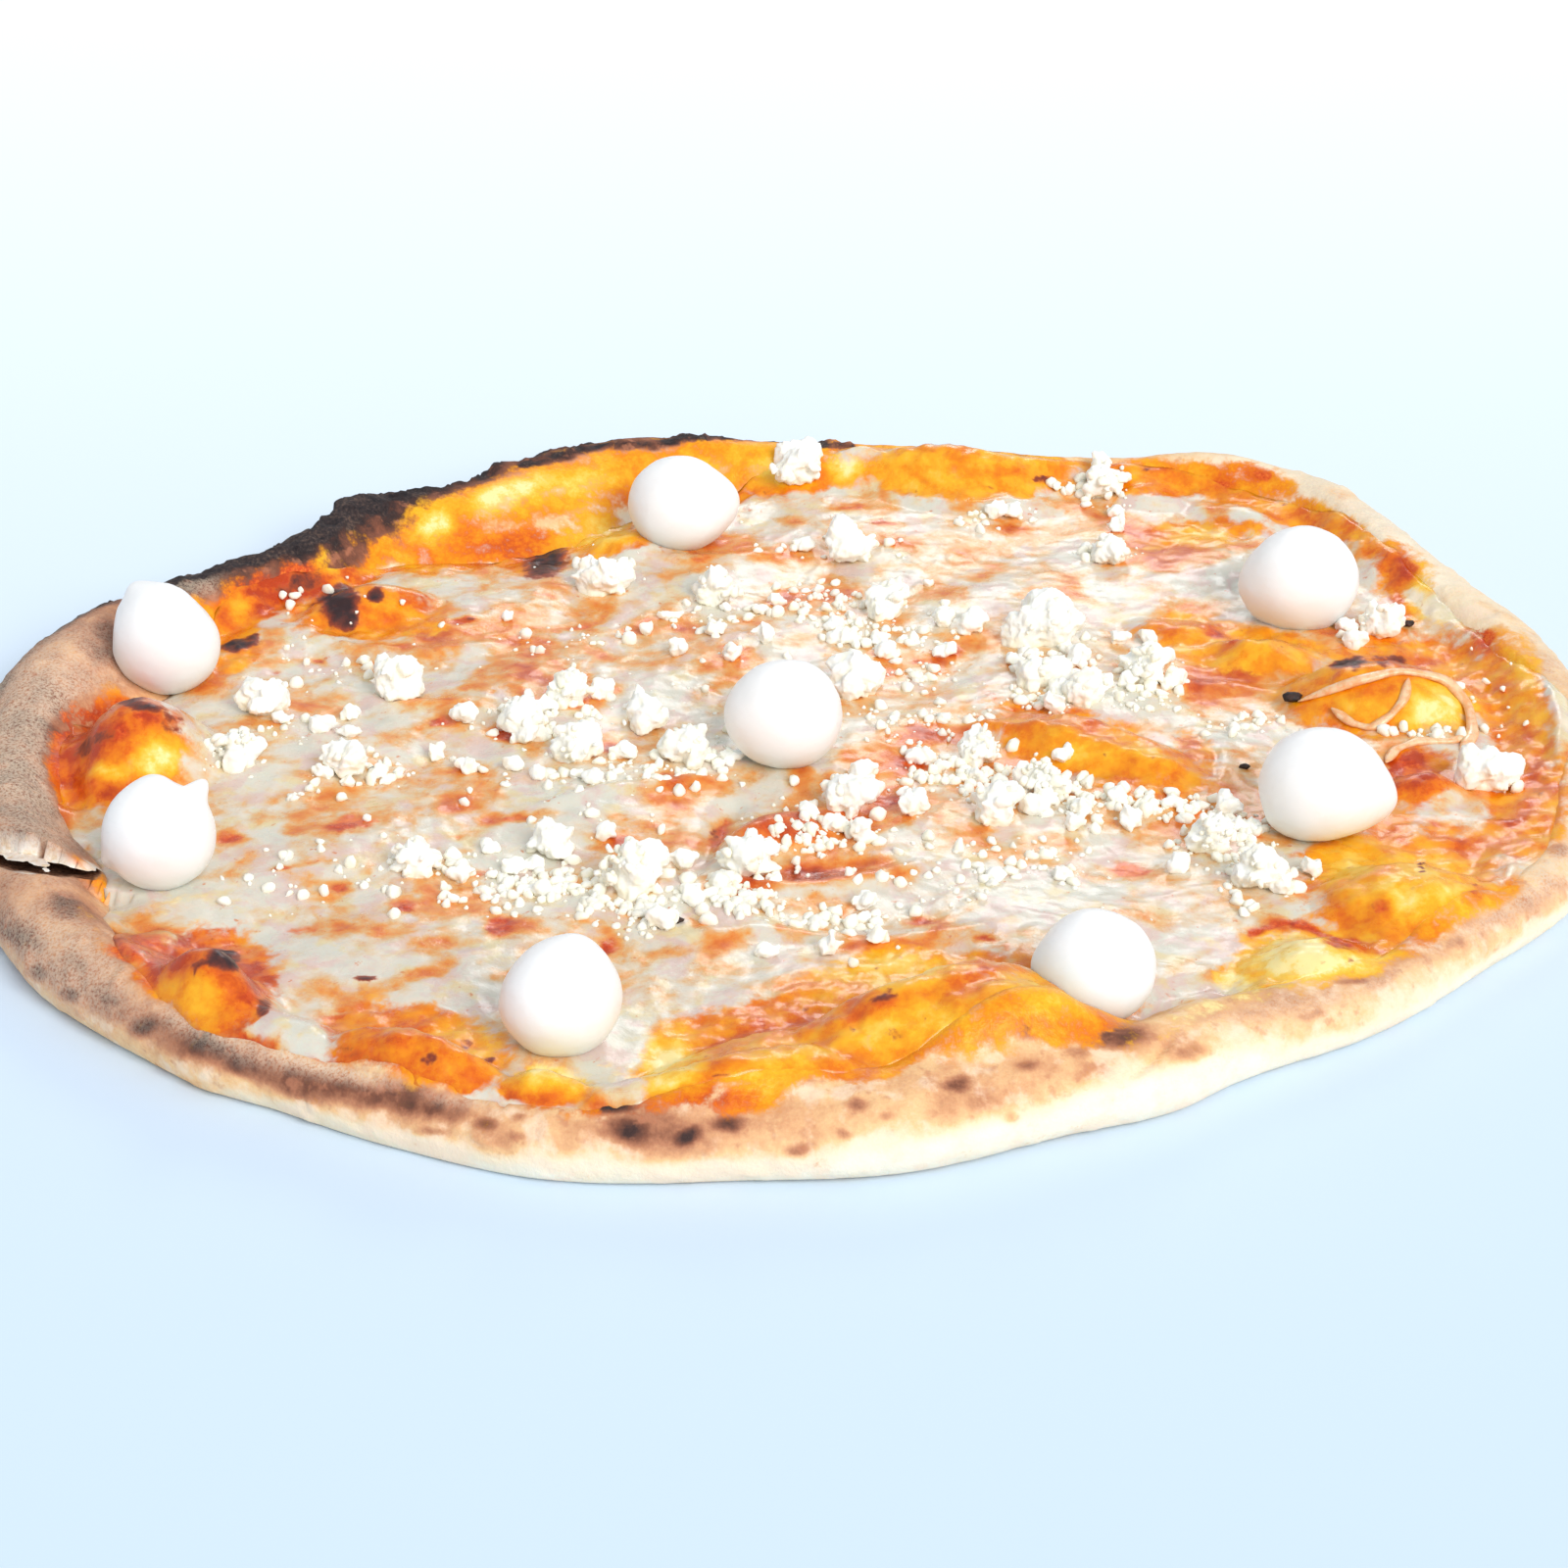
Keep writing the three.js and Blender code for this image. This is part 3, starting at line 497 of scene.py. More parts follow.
# Burnt spots of the cheese.
CHAR = {
    "back left": ((346, 617, 20, 20), (383, 607, 9, 6, 0, 0.9), (306, 594, 26, 12, -20, 0.55)),
    "back": (
        (557, 573, 24, 17, -20), (556, 496, 4, 3, 0, 0.8), (641, 488, 10, 14, 0, 0.5),
        (528, 548, 22, 8, -8, 0.35), (1065, 488, 12, 4, 0, 0.5),
    ),
    "back right": ((1178, 475, 14, 4, -10, 0.5), (1286, 488, 9, 5, 0, 0.4)),
    "left": (
        (146, 722, 24, 6, 10, 0.75), (178, 740, 12, 10, 40, 0.4), (92, 757, 28, 7, -24, 0.6),
        (356, 632, 9, 9, 0, 0.9), (243, 657, 19, 6, -8, 0.95), (262, 651, 6, 4, 0, 0.8),
        (474, 634, 8, 2, 0, 0.5),
    ),
    "middle": ((728, 848, 5, 9, 24, 0.4),),
    "right": (
        (1376, 678, 20, 7, -14, 0.95), (1416, 674, 20, 5, 0, 0.5), (1502, 645, 11, 8, 0, 0.3),
        (1574, 800, 10, 14, 0, 0.3), (1504, 899, 4, 2, 0, 0.7), (1450, 885, 2, 3, 0, 0.7),
    ),
    "front left": (
        (226, 980, 20, 9, 14, 0.95), (199, 983, 7, 5, 0, 0.8), (270, 1029, 9, 9, 0, 0.6),
        (380, 1095, 22, 13, 0, 0.8), (362, 1070, 14, 9, 0, 0.45), (436, 1078, 12, 6, 0, 0.5),
        (476, 1066, 7, 5, 0, 0.6), (376, 1000, 13, 3, 0, 0.65),
    ),
    "front": (
        (499, 1080, 7, 4, 0, 0.6), (900, 1020, 14, 5, -8, 0.7), (755, 1112, 16, 6, -10, 0.6),
        (734, 1095, 13, 4, 0, 0.45), (915, 1055, 14, 5, 10, 0.45), (996, 1037, 8, 5, 0, 0.6),
        (1014, 1016, 6, 3, 0, 0.4), (1081, 1039, 11, 4, 0, 0.4), (1130, 1051, 23, 12, -8),
        (1046, 1050, 12, 10, 0, 0.8),
    ),
    "front right": ((1158, 1052, 12, 7, 10, 0.6),),
}
# Burnt and browned spots of the bare dough.
CRUST_DARK = {
    "back right": ((1500, 545, 14, 8, 30, 0.3), (1375, 505, 22, 5, 14, 0.2)),
    "left": (
        (106, 652, 16, 30, 10, 0.45), (24, 760, 40, 70, 0, 0.42), (20, 835, 40, 26, 0, 0.42),
        (86, 858, 22, 14, 20, 0.42), (67, 926, 18, 11, 14, 0.62),
    ),
    "right": ((1592, 868, 12, 8, 0, 0.5), (1555, 930, 14, 4, -24, 0.22)),
    "front left": (
        (18, 953, 26, 14, 30, 0.62), (38, 991, 12, 9, 10, 0.66), (71, 1012, 14, 9, 10, 0.68),
        (110, 1020, 14, 8, 10, 0.5), (150, 1047, 17, 13, 14, 0.66), (78, 982, 24, 8, 24, 0.35),
        (190, 1062, 20, 9, 20, 0.4), (170, 1000, 12, 16, 0, 0.45), (438, 1154, 18, 5, 4, 0.35),
    ),
    "front": (
        (494, 1146, 14, 6, 0, 0.4), (527, 1140, 10, 5, 0, 0.35), (528, 1158, 9, 5, 0, 0.35),
        (630, 1131, 24, 8, 0, 0.8), (642, 1155, 26, 14, 6, 0.75), (703, 1158, 18, 9, -24, 0.74),
        (742, 1146, 22, 9, -12, 0.72), (682, 1150, 88, 24, 0, 0.36), (979, 1108, 16, 8, -6, 0.66),
        (874, 1126, 12, 8, 0, 0.5), (905, 1136, 9, 5, 0, 0.35), (864, 1157, 7, 5, 0, 0.4),
        (815, 1175, 12, 6, 0, 0.4), (1030, 1139, 9, 6, 0, 0.25), (1101, 1075, 15, 6, 0, 0.35),
        (1050, 1085, 11, 5, 0, 0.35), (832, 1105, 13, 4, 0, 0.35), (1140, 1056, 26, 12, -4, 0.8),
        (1046, 1052, 12, 9, 0, 0.7),
    ),
    "front right": (
        (1287, 1004, 12, 4, 0, 0.45), (1380, 1000, 16, 5, 0, 0.55), (1284, 1032, 17, 5, 0, 0.35),
        (1343, 1034, 15, 5, -14, 0.4), (1483, 963, 12, 7, 0, 0.4), (1216, 1075, 16, 8, 0, 0.35),
        (1500, 940, 22, 16, -34, 0.3),
    ),
}
# The burnt outer edge and other bands: points along each, half width in pixels, strength.
CRUST_BANDS = {
    "brown under it": (((205, 606), (290, 592), (340, 566), (410, 545)), 12, 0.45),
    "back edge": (((535, 474), (600, 458), (700, 446), (800, 448), (870, 455)), 6, 0.9),
    "back edge right": (((870, 455), (1000, 458), (1080, 468)), 4, 0.6),
    "dark band": (((205, 1066), (250, 1086), (300, 1104), (370, 1114), (445, 1126)), 14, 0.62),
    "dark band foot": (((395, 1112), (430, 1126), (462, 1130)), 15, 0.5),
    "front mottle": (((520, 1150), (700, 1150), (860, 1130), (1000, 1108), (1110, 1080)), 26, 0.13),
    "right mottle": (((1240, 1030), (1340, 1020), (1430, 985), (1510, 945), (1590, 905)), 15, 0.22),
    "left side mottle": (((0, 940), (60, 1000), (150, 1045), (260, 1095)), 18, 0.25),
}
# Sauce drawn as bands on the cheese.
RED_BANDS = {
    "right arc": (((1500, 640), (1532, 668), (1545, 700), (1534, 730)), 6, 0.35),
    "right arc foot": (((1556, 742), (1570, 768), (1562, 800), (1560, 826), (1538, 842)), 6, 0.5),
    "pale dome's line": (((1277, 954), (1302, 943), (1330, 943), (1356, 957), (1408, 967)), 6, 0.9),
    "bubble's crest": (((800, 1045), (880, 1032), (950, 1010), (1006, 986)), 5, 0.3),
    "bubble's crest 2": (((700, 1076), (752, 1052), (800, 1045)), 6, 0.2),
    "bubble's end": (((1010, 984), (1070, 985), (1125, 1015)), 4, 0.2),
    "fold's edge": (((1000, 737), (1045, 722), (1085, 732), (1130, 750)), 4, 0.35),
}
# Bare dough near the cheese that oil and sauce have stained.
STAIN_BANDS = {
    "back slope": (((178, 612), (240, 610), (300, 590), (380, 566), (430, 545)), 20, 0.9),
    "back slope 2": (((430, 530), (500, 500), (600, 478), (720, 462), (820, 462)), 18, 1),
    "back slope 3": (((820, 462), (940, 462), (1080, 478)), 14, 1),
    "right back": (((1150, 474), (1240, 480), (1320, 506), (1395, 552)), 9, 0.8),
    "tear's end": (((78, 882), (100, 895), (108, 915)), 9, 0.9),
    "left front": (((88, 915), (104, 962), (140, 985), (170, 1010)), 7, 0.22),
    "front bubble": (((640, 1122), (720, 1128), (790, 1100), (900, 1066), (1050, 1046)), 17, 0.75),
    "right low": (((1240, 1000), (1330, 1000), (1430, 975), (1530, 925)), 9, 0.45),
    "right of the bubble": (((1186, 1046), (1236, 1024), (1290, 1008)), 12, 0.45),
    "clusters": (((545, 1122), (600, 1134), (680, 1142), (770, 1132)), 20, 0.62),
}
FLOUR = {
    "back left": ((200, 602, 40, 14, -8, 0.8),),
    "back right": ((1400, 530, 150, 30, 24, 0.75),),
    "left": ((30, 760, 90, 130, 0, 0.8), (70, 650, 60, 50, -20, 0.3)),
    "right": ((1590, 640, 60, 60, 30, 0.8), (1530, 900, 90, 34, -24, 0.9)),
    "front left": (
        (60, 975, 100, 50, 30, 0.6), (215, 1035, 70, 26, 26, 0.9), (340, 1085, 90, 14, 8, 0.85),
        (470, 1112, 34, 14, 6, 0.7),
    ),
    "front right": ((1330, 1010, 120, 26, -12, 0.4),),
}
# Where the rim stays bare and the cheese by it is only a pale dry film.
BARE = {
    "back left": ((200, 602, 34, 12, -8, 0.8),),
    "back right": (
        (1350, 492, 46, 15, 24), (1420, 528, 60, 20, 30), (1480, 572, 60, 24, 34),
        (1540, 612, 56, 24, 32), (1484, 618, 46, 17, 14),
    ),
    "right": ((1600, 690, 18, 56, -12), (1548, 882, 40, 12, -18, 0.5)),
}
CREASES = {
    "right of the bubble": (((1158, 1097), (1176, 1082), (1192, 1064)), 3.2, 1),
    "front left": (((512, 1128), (518, 1104), (514, 1088)), 3.0, 0.7),
}
CRUST_EDGE = (  # where the baked top of the rim gives way to pale dough lower down
    (-200, 700), (0, 1010), (100, 1066), (200, 1116), (300, 1150), (400, 1164), (500, 1178),
    (640, 1192), (800, 1180), (930, 1162), (1030, 1139), (1110, 1112), (1226, 1076),
    (1330, 1066), (1430, 1034), (1532, 978), (1600, 934), (1800, 810),
)
# Crumbled cheese strewn over the top, from the left cluster to the back: across, down, half
# width, half height, how many crumbs of 3 to 6 mm, and how many finer than that.
STREWN_MEDIUM, STREWN_FINE = 4, 5
STREWN = (
    (232, 775, 44, 14, 6, 40), (300, 745, 46, 18, 4, 24), (372, 790, 50, 20, 6, 40),
    (318, 805, 40, 16, 1, 16), (560, 738, 80, 34, 9, 90), (610, 790, 100, 22, 8, 90),
    (712, 780, 60, 30, 6, 60), (728, 638, 50, 34, 6, 50), (840, 620, 70, 26, 8, 70),
    (905, 650, 70, 26, 8, 90), (925, 690, 60, 22, 6, 50), (1075, 668, 60, 30, 11, 80),
    (1172, 700, 46, 34, 12, 90), (1070, 715, 50, 22, 3, 60), (1120, 500, 54, 24, 12, 50),
    (1130, 568, 40, 14, 4, 26), (1010, 530, 50, 14, 3, 24), (940, 740, 90, 24, 2, 60),
    (970, 790, 90, 26, 4, 70), (1010, 800, 60, 26, 5, 50), (1090, 820, 80, 26, 7, 110),
    (1190, 826, 60, 20, 3, 90), (1250, 860, 56, 34, 4, 150), (1290, 905, 46, 30, 4, 50),
    (1385, 650, 30, 12, 3, 20), (1270, 742, 60, 22, 2, 40), (540, 905, 90, 34, 9, 150),
    (640, 920, 60, 40, 9, 150), (440, 882, 60, 18, 3, 40), (760, 915, 70, 34, 8, 120),
    (830, 850, 70, 34, 7, 100), (860, 940, 80, 20, 4, 50), (960, 890, 110, 40, 3, 60),
    (1080, 880, 80, 34, 2, 40), (330, 690, 90, 40, 1, 24), (330, 900, 120, 50, 0, 40),
    (560, 660, 120, 30, 3, 30), (760, 790, 560, 190, 4, 160), (1460, 750, 46, 8, 0, 26),
    (1520, 740, 50, 90, 0, 16), (330, 620, 90, 40, 0, 12), (760, 560, 260, 40, 2, 40),
)
BLACK_SPECKS = {
    "left": (383, 790, 4.2), "front": (690, 943, 4.6), "string's end": (1318, 717, 6.5),
    "beside ball 3": (1436, 640, 4.6), "behind ball 5": (1270, 785, 3.4), "left cheese": (600, 745, 2.2),
}
STRINGS = {
    "second": ((1437, 695), (1433, 716), (1419, 733), (1399, 746), (1379, 741), (1358, 725)),
    "third": ((1414, 781), (1424, 767), (1446, 759), (1481, 759), (1502, 753)),
}

CRUST_PUSH = 7  # how far the edges of painted spots are pushed about, in pixels
CHEESE_PUSH = 6


def warped(points, across, down, amount):
    """Photo places pushed about, so that what is painted by them has uneven edges."""
    push = [
        amount * noise(points, 11, seed, 3) + 0.35 * amount * noise(points, 3, seed + 9, 2)
        for seed in (301, 331)
    ]
    return across + push[0], down + 0.5 * push[1]


def spots(place, marks, soft):
    """How strongly each place lies in the ellipses of any group."""
    across, down = place
    cover = np.zeros_like(across)
    for mark in itertools.chain(*marks.values()):
        given = len(mark) - ALWAYS_GIVEN
        cx, cy, half_width, half_height, turn, strength = mark + USUAL_TURN_AND_STRENGTH[given:]
        c, s = math.cos(math.radians(turn)), math.sin(math.radians(turn))
        along = ((across - cx) * c + (down - cy) * s) / half_width
        side = ((down - cy) * c - (across - cx) * s) / half_height
        inside = smooth((1 + soft - np.hypot(along, side)) / (2 * soft))
        cover = np.maximum(cover, strength * inside)
    return cover


def away_from_line(x, y, line):
    """How far points are from the nearest stretch of a line of corners."""
    away = np.full(len(x), np.inf)
    for (ax, ay), (bx, by) in zip(line, line[1:]):
        length = (bx - ax) ** 2 + (by - ay) ** 2
        t = np.clip(((x - ax) * (bx - ax) + (y - ay) * (by - ay)) / length, 0, 1)
        away = np.minimum(away, np.hypot(x - ax - t * (bx - ax), y - ay - t * (by - ay)))
    return away


def bands(place, marks, soft):
    """How strongly each place lies on the bands."""
    cover = np.zeros_like(place[0])
    for path, half_width, strength in marks.values():
        away = away_from_line(*place, path) / half_width
        cover = np.maximum(cover, strength * smooth((1 + soft - away) / (2 * soft)))
    return cover


# ---------------------------------------------------------------- meshes
def make_piece(name, points, faces, material, slot, replaced=()):
    """A mesh of the plan's points, in metres in the part's frame, riding on the one body."""
    mesh = bpy.data.meshes.new(name)
    metres = (np.asarray(points) - np.array([*PLAN_MIDDLE, 0])) / 1000
    mesh.from_pydata(metres.tolist(), [], faces if isinstance(faces, list) else faces.tolist())
    mesh.update()
    piece = bpy.data.objects.new(name, mesh)
    bpy.context.scene.collection.objects.link(piece)
    mesh.polygons.foreach_set("use_smooth", [True] * len(mesh.polygons))
    if material:
        mesh.materials.append(material)
    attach(piece, "root")
    if replaced:
        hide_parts(*replaced)
    return piece


def set_values(piece, **fields):
    """Keeps one number for each vertex, which the piece's material reads by name."""
    for name, values in fields.items():
        field = piece.data.attributes.new(name, "FLOAT", "POINT")
        field.data.foreach_set("value", np.clip(values, 0, 1).astype(np.float32))


def plan_points(mesh):
    metres = np.zeros(len(mesh.vertices) * 3)
    mesh.vertices.foreach_get("co", metres)
    return metres.reshape(-1, 3) * 1000 + np.array([*PLAN_MIDDLE, 0])


def faces_of(mesh):
    return np.array([tuple(p.vertices) for p in mesh.polygons])


def remeshed(points, faces, voxel):
    """One skin over overlapping closed shapes, as points and faces, in the same units."""
    mesh = bpy.data.meshes.new("grains")
    mesh.from_pydata(points.tolist(), [], faces.tolist())
    holder = bpy.data.objects.new("grains", mesh)
    bpy.context.scene.collection.objects.link(holder)
    skin = holder.modifiers.new("skin", "REMESH")
    skin.mode = "VOXEL"
    skin.voxel_size = voxel
    graph = bpy.context.evaluated_depsgraph_get()
    made = bpy.data.meshes.new_from_object(holder.evaluated_get(graph))
    found = np.zeros(len(made.vertices) * 3)
    made.vertices.foreach_get("co", found)
    quads = faces_of(made)
    bpy.data.objects.remove(holder)
    bpy.data.meshes.remove(made)
    bpy.data.meshes.remove(mesh)
    return found.reshape(-1, 3), quads


def icosphere(detail):
    shape = bmesh.new()
    bmesh.ops.create_icosphere(shape, subdivisions=detail, radius=1)
    points = np.array([v.co for v in shape.verts])
    faces = np.array([[v.index for v in f.verts] for f in shape.faces])
    shape.free()
    return points, faces


GRAIN_POINTS, GRAIN_FACES = icosphere(2)
SMALL_POINTS, SMALL_FACES = icosphere(1)


def gathered(parts):
    """One list of points and one of faces from many (points, faces)."""
    points, faces, start = [], [], 0
    for part_points, part_faces in parts:
        points.append(part_points)
        faces.append(part_faces + start)
        start += len(part_points)
    return np.vstack(points), np.vstack(faces)


# ---------------------------------------------------------------- materials
class Value:
    """A shader's number or colour, made by a node. Its sums are nodes of the same shader."""

    def __init__(self, shader, socket):
        self.shader = shader
        self.socket = socket

    def __add__(self, other):
        return self.shader.maths("ADD", self, other)

    def __sub__(self, other):
        return self.shader.maths("SUBTRACT", self, other)

    def __mul__(self, other):
        return self.shader.maths("MULTIPLY", self, other)

    def held(self):
        """The same value, held between 0 and 1."""
        self.socket.node.use_clamp = True
        return self


class Shader:
    """One material's nodes. What its functions take is a number, a colour or a Value."""

    def __init__(self, name):
        self.material = bpy.data.materials.new(name)
        self.material.use_nodes = True
        self.tree = self.material.node_tree
        self.tree.nodes.clear()
        output = self.tree.nodes.new("ShaderNodeOutputMaterial")
        self.surface = self.tree.nodes.new("ShaderNodeBsdfPrincipled")
        self.tree.links.new(self.surface.outputs[0], output.inputs[0])
        self.place = Value(self, self.tree.nodes.new("ShaderNodeTexCoord").outputs["Object"])

    def feed(self, socket, value):
        if isinstance(value, Value):
            self.tree.links.new(value.socket, socket)
        else:
            socket.default_value = value

    def set(self, **values):
        """Feeds the surface's sockets, named with _ for a space."""
        for name, value in values.items():
            self.feed(self.surface.inputs[name.replace("_", " ")], value)

    def node(self, kind, **settings):
        node = self.tree.nodes.new("ShaderNode" + kind)
        for name, setting in settings.items():
            setattr(node, name, setting)
        return node

    def field(self, name):
        return Value(self, self.node("Attribute", attribute_name=name).outputs["Fac"])

    def maths(self, operation, a, b=0.0):
        node = self.node("Math", operation=operation)
        self.feed(node.inputs[0], a)
        self.feed(node.inputs[1], b)
        return Value(self, node.outputs[0])

    def grain(self, size, detail=3.0, stretch=(1, 1, 1), roughness=0.55, distortion=0.0):
        """Noise, 0 to 1, with swells of that many millimetres."""
        place = self.node("Mapping")
        self.feed(place.inputs["Vector"], self.place)
        place.inputs["Scale"].default_value = [1000 / size / s for s in stretch]
        node = self.node("TexNoise")
        self.feed(node.inputs["Vector"], Value(self, place.outputs[0]))
        settings = {"Scale": 1.0, "Detail": detail, "Roughness": roughness, "Distortion": distortion}
        for name, setting in settings.items():
            self.feed(node.inputs[name], setting)
        return Value(self, node.outputs["Fac"])

    def between(self, value, low, high, to_low=0.0, to_high=1.0):
        """The value taken from low..high to to_low..to_high, held at both ends."""
        node = self.node("MapRange", interpolation_type="SMOOTHSTEP")
        for socket, number in zip(node.inputs, (value, low, high, to_low, to_high)):
            self.feed(socket, number)
        return Value(self, node.outputs[0])

    def swing(self, value, low, high):
        """A grain's middle two fifths spread over low..high, to push another value about."""
        return self.between(value, 0.3, 0.7, low, high)

    def mix(self, factor, a, b):
        node = self.node("Mix", data_type="RGBA")
        self.feed(node.inputs[0], factor)
        for socket, shade in zip(node.inputs[6:8], (a, b)):
            self.feed(socket, shade if isinstance(shade, Value) else (*shade, 1))
        return Value(self, node.outputs[2])

    def ramp(self, value, *stops):
        """Colours by value: each stop is where it lies, then red, green and blue, 0 to 255."""
        node = self.node("ValToRGB")
        bar = node.color_ramp
        while len(bar.elements) < len(stops):
            bar.elements.new(0.5)
        for element, (position, *shade) in zip(bar.elements, stops):
            element.position = position
            element.color = (*colour(*shade), 1)
        self.feed(node.inputs[0], value)
        return Value(self, node.outputs[0])

    def bump(self, height, strength, distance):
        node = self.node("Bump")
        self.feed(node.inputs["Strength"], strength)
        self.feed(node.inputs["Distance"], distance / 1000)
        self.feed(node.inputs["Height"], height)
        self.feed(self.surface.inputs["Normal"], Value(self, node.outputs[0]))


def colour(red, green, blue):
    """A colour as a picture's 0 to 255 numbers, made linear for the shader."""
    parts = [c / 255 for c in (red, green, blue)]
    return tuple(c / 12.92 if c <= 0.04045 else ((c + 0.055) / 1.055) ** 2.4 for c in parts)


def topping_colours(s, blotch, fine):
    """Oil and browned cheese from red-orange to cream, and tomato sauce, as two outputs."""
    warmth = s.field("yellow") + s.swing(blotch, -0.17, 0.17) + s.swing(fine, -0.05, 0.05)
    warmth = (warmth - s.field("red") * 0.28).held()
    oil = s.ramp(
        warmth,
        (0.0, 186, 62, 10), (0.18, 220, 102, 8), (0.42, 238, 146, 8),
        (0.66, 247, 180, 32), (0.85, 250, 206, 88), (1.0, 253, 230, 158),
    )
    sauce = s.ramp(
        blotch * 0.5 + fine * 0.5,
        (0.36, 164, 42, 12), (0.5, 208, 74, 20), (0.64, 234, 120, 38),
    )
    return oil, sauce


def edged(s, value, wobble, low, high):
    """A soft-edged share made crisp, its edge broken up by a wobble of about -0.5 to 0.5."""
    return s.between(value + wobble, low, high)


def crust_material():
    s = Shader("baked_crust")
    fine = s.grain(0.8, 2, roughness=0.7)
    middle = s.grain(5.5, 5, roughness=0.6)
    broad = s.grain(17, 3)
    wobble = s.swing(middle, -0.34, 0.34) + s.between(fine, 0.2, 0.8, -0.1, 0.1)
    mottle = s.swing(middle, -0.07, 0.08) + s.swing(broad, -0.05, 0.05)
    mottle = mottle + s.between(fine, 0.25, 0.75, -0.02, 0.025)
    mottle = mottle * s.between(s.field("bake"), 0.02, 0.3, 0.25, 1.0)
    baked = (s.field("bake") + mottle).held()
    crust = s.ramp(
        baked,
        (0.0, 246, 238, 218), (0.14, 246, 224, 190), (0.28, 242, 197, 144), (0.42, 220, 162, 118),
        (0.55, 184, 124, 92), (0.69, 132, 82, 62), (0.84, 70, 48, 44), (1.0, 32, 27, 30),
    )
    freckle = s.between(s.grain(3.4, 3), 0.57, 0.68, 0, 0.5) * s.between(baked, 0.12, 0.3)
    crust = s.mix(freckle, crust, colour(196, 128, 96))
    pale = s.between(s.grain(7, 4), 0.5, 0.64, 0, 0.7) * s.between(baked, 0.5, 0.3)
    crust = s.mix(pale, crust, colour(250, 224, 196))
    oil, sauce = topping_colours(s, middle, fine)
    crust = s.mix(edged(s, s.field("stain"), wobble, 0.25, 0.85), crust, oil)
    crust = s.mix(edged(s, s.field("red"), wobble, 0.35, 0.75), crust, sauce)
    dust = s.between(s.grain(0.55, 3, roughness=0.75), 0.32, 0.58)
    shade = s.between(s.grain(0.7, 2, roughness=0.8), 0.55, 0.7, 0, 0.35)
    sand = s.mix(s.field("flour") * shade, crust, colour(140, 104, 88))
    crust = s.mix(s.field("flour") * dust, sand, colour(229, 210, 186))
    burnt = edged(s, s.field("char"), wobble * 0.9, 0.28, 0.8)
    ash = fine * 0.5 + middle * 0.5
    ashes = s.ramp(ash, (0.38, 28, 25, 30), (0.52, 58, 48, 48), (0.68, 104, 84, 74))
    crust = s.mix(burnt, crust, ashes)
    torn = s.ramp(s.grain(1.6, 3), (0.34, 240, 220, 190), (0.5, 254, 250, 240))
    crust = s.mix(s.field("torn"), crust, torn)
    # Painted shade deep inside the torn slit, brown to dark brown.
    slit_shade = s.ramp(fine, (0.35, 96, 60, 44), (0.65, 158, 112, 84))
    crust = s.mix(s.field("slit_shade"), crust, slit_shade)
    s.set(Base_Color=crust, Subsurface_Weight=0.1, Subsurface_Scale=0.0015)
    s.set(Subsurface_Radius=(1.0, 0.6, 0.35), Specular_IOR_Level=0.3)
    s.set(Roughness=s.between(s.field("stain"), 0.2, 1, 0.85, 0.4))
    s.bump(fine + s.grain(2.6, 3) * 1.2, 0.4, 0.4)
    return s.material


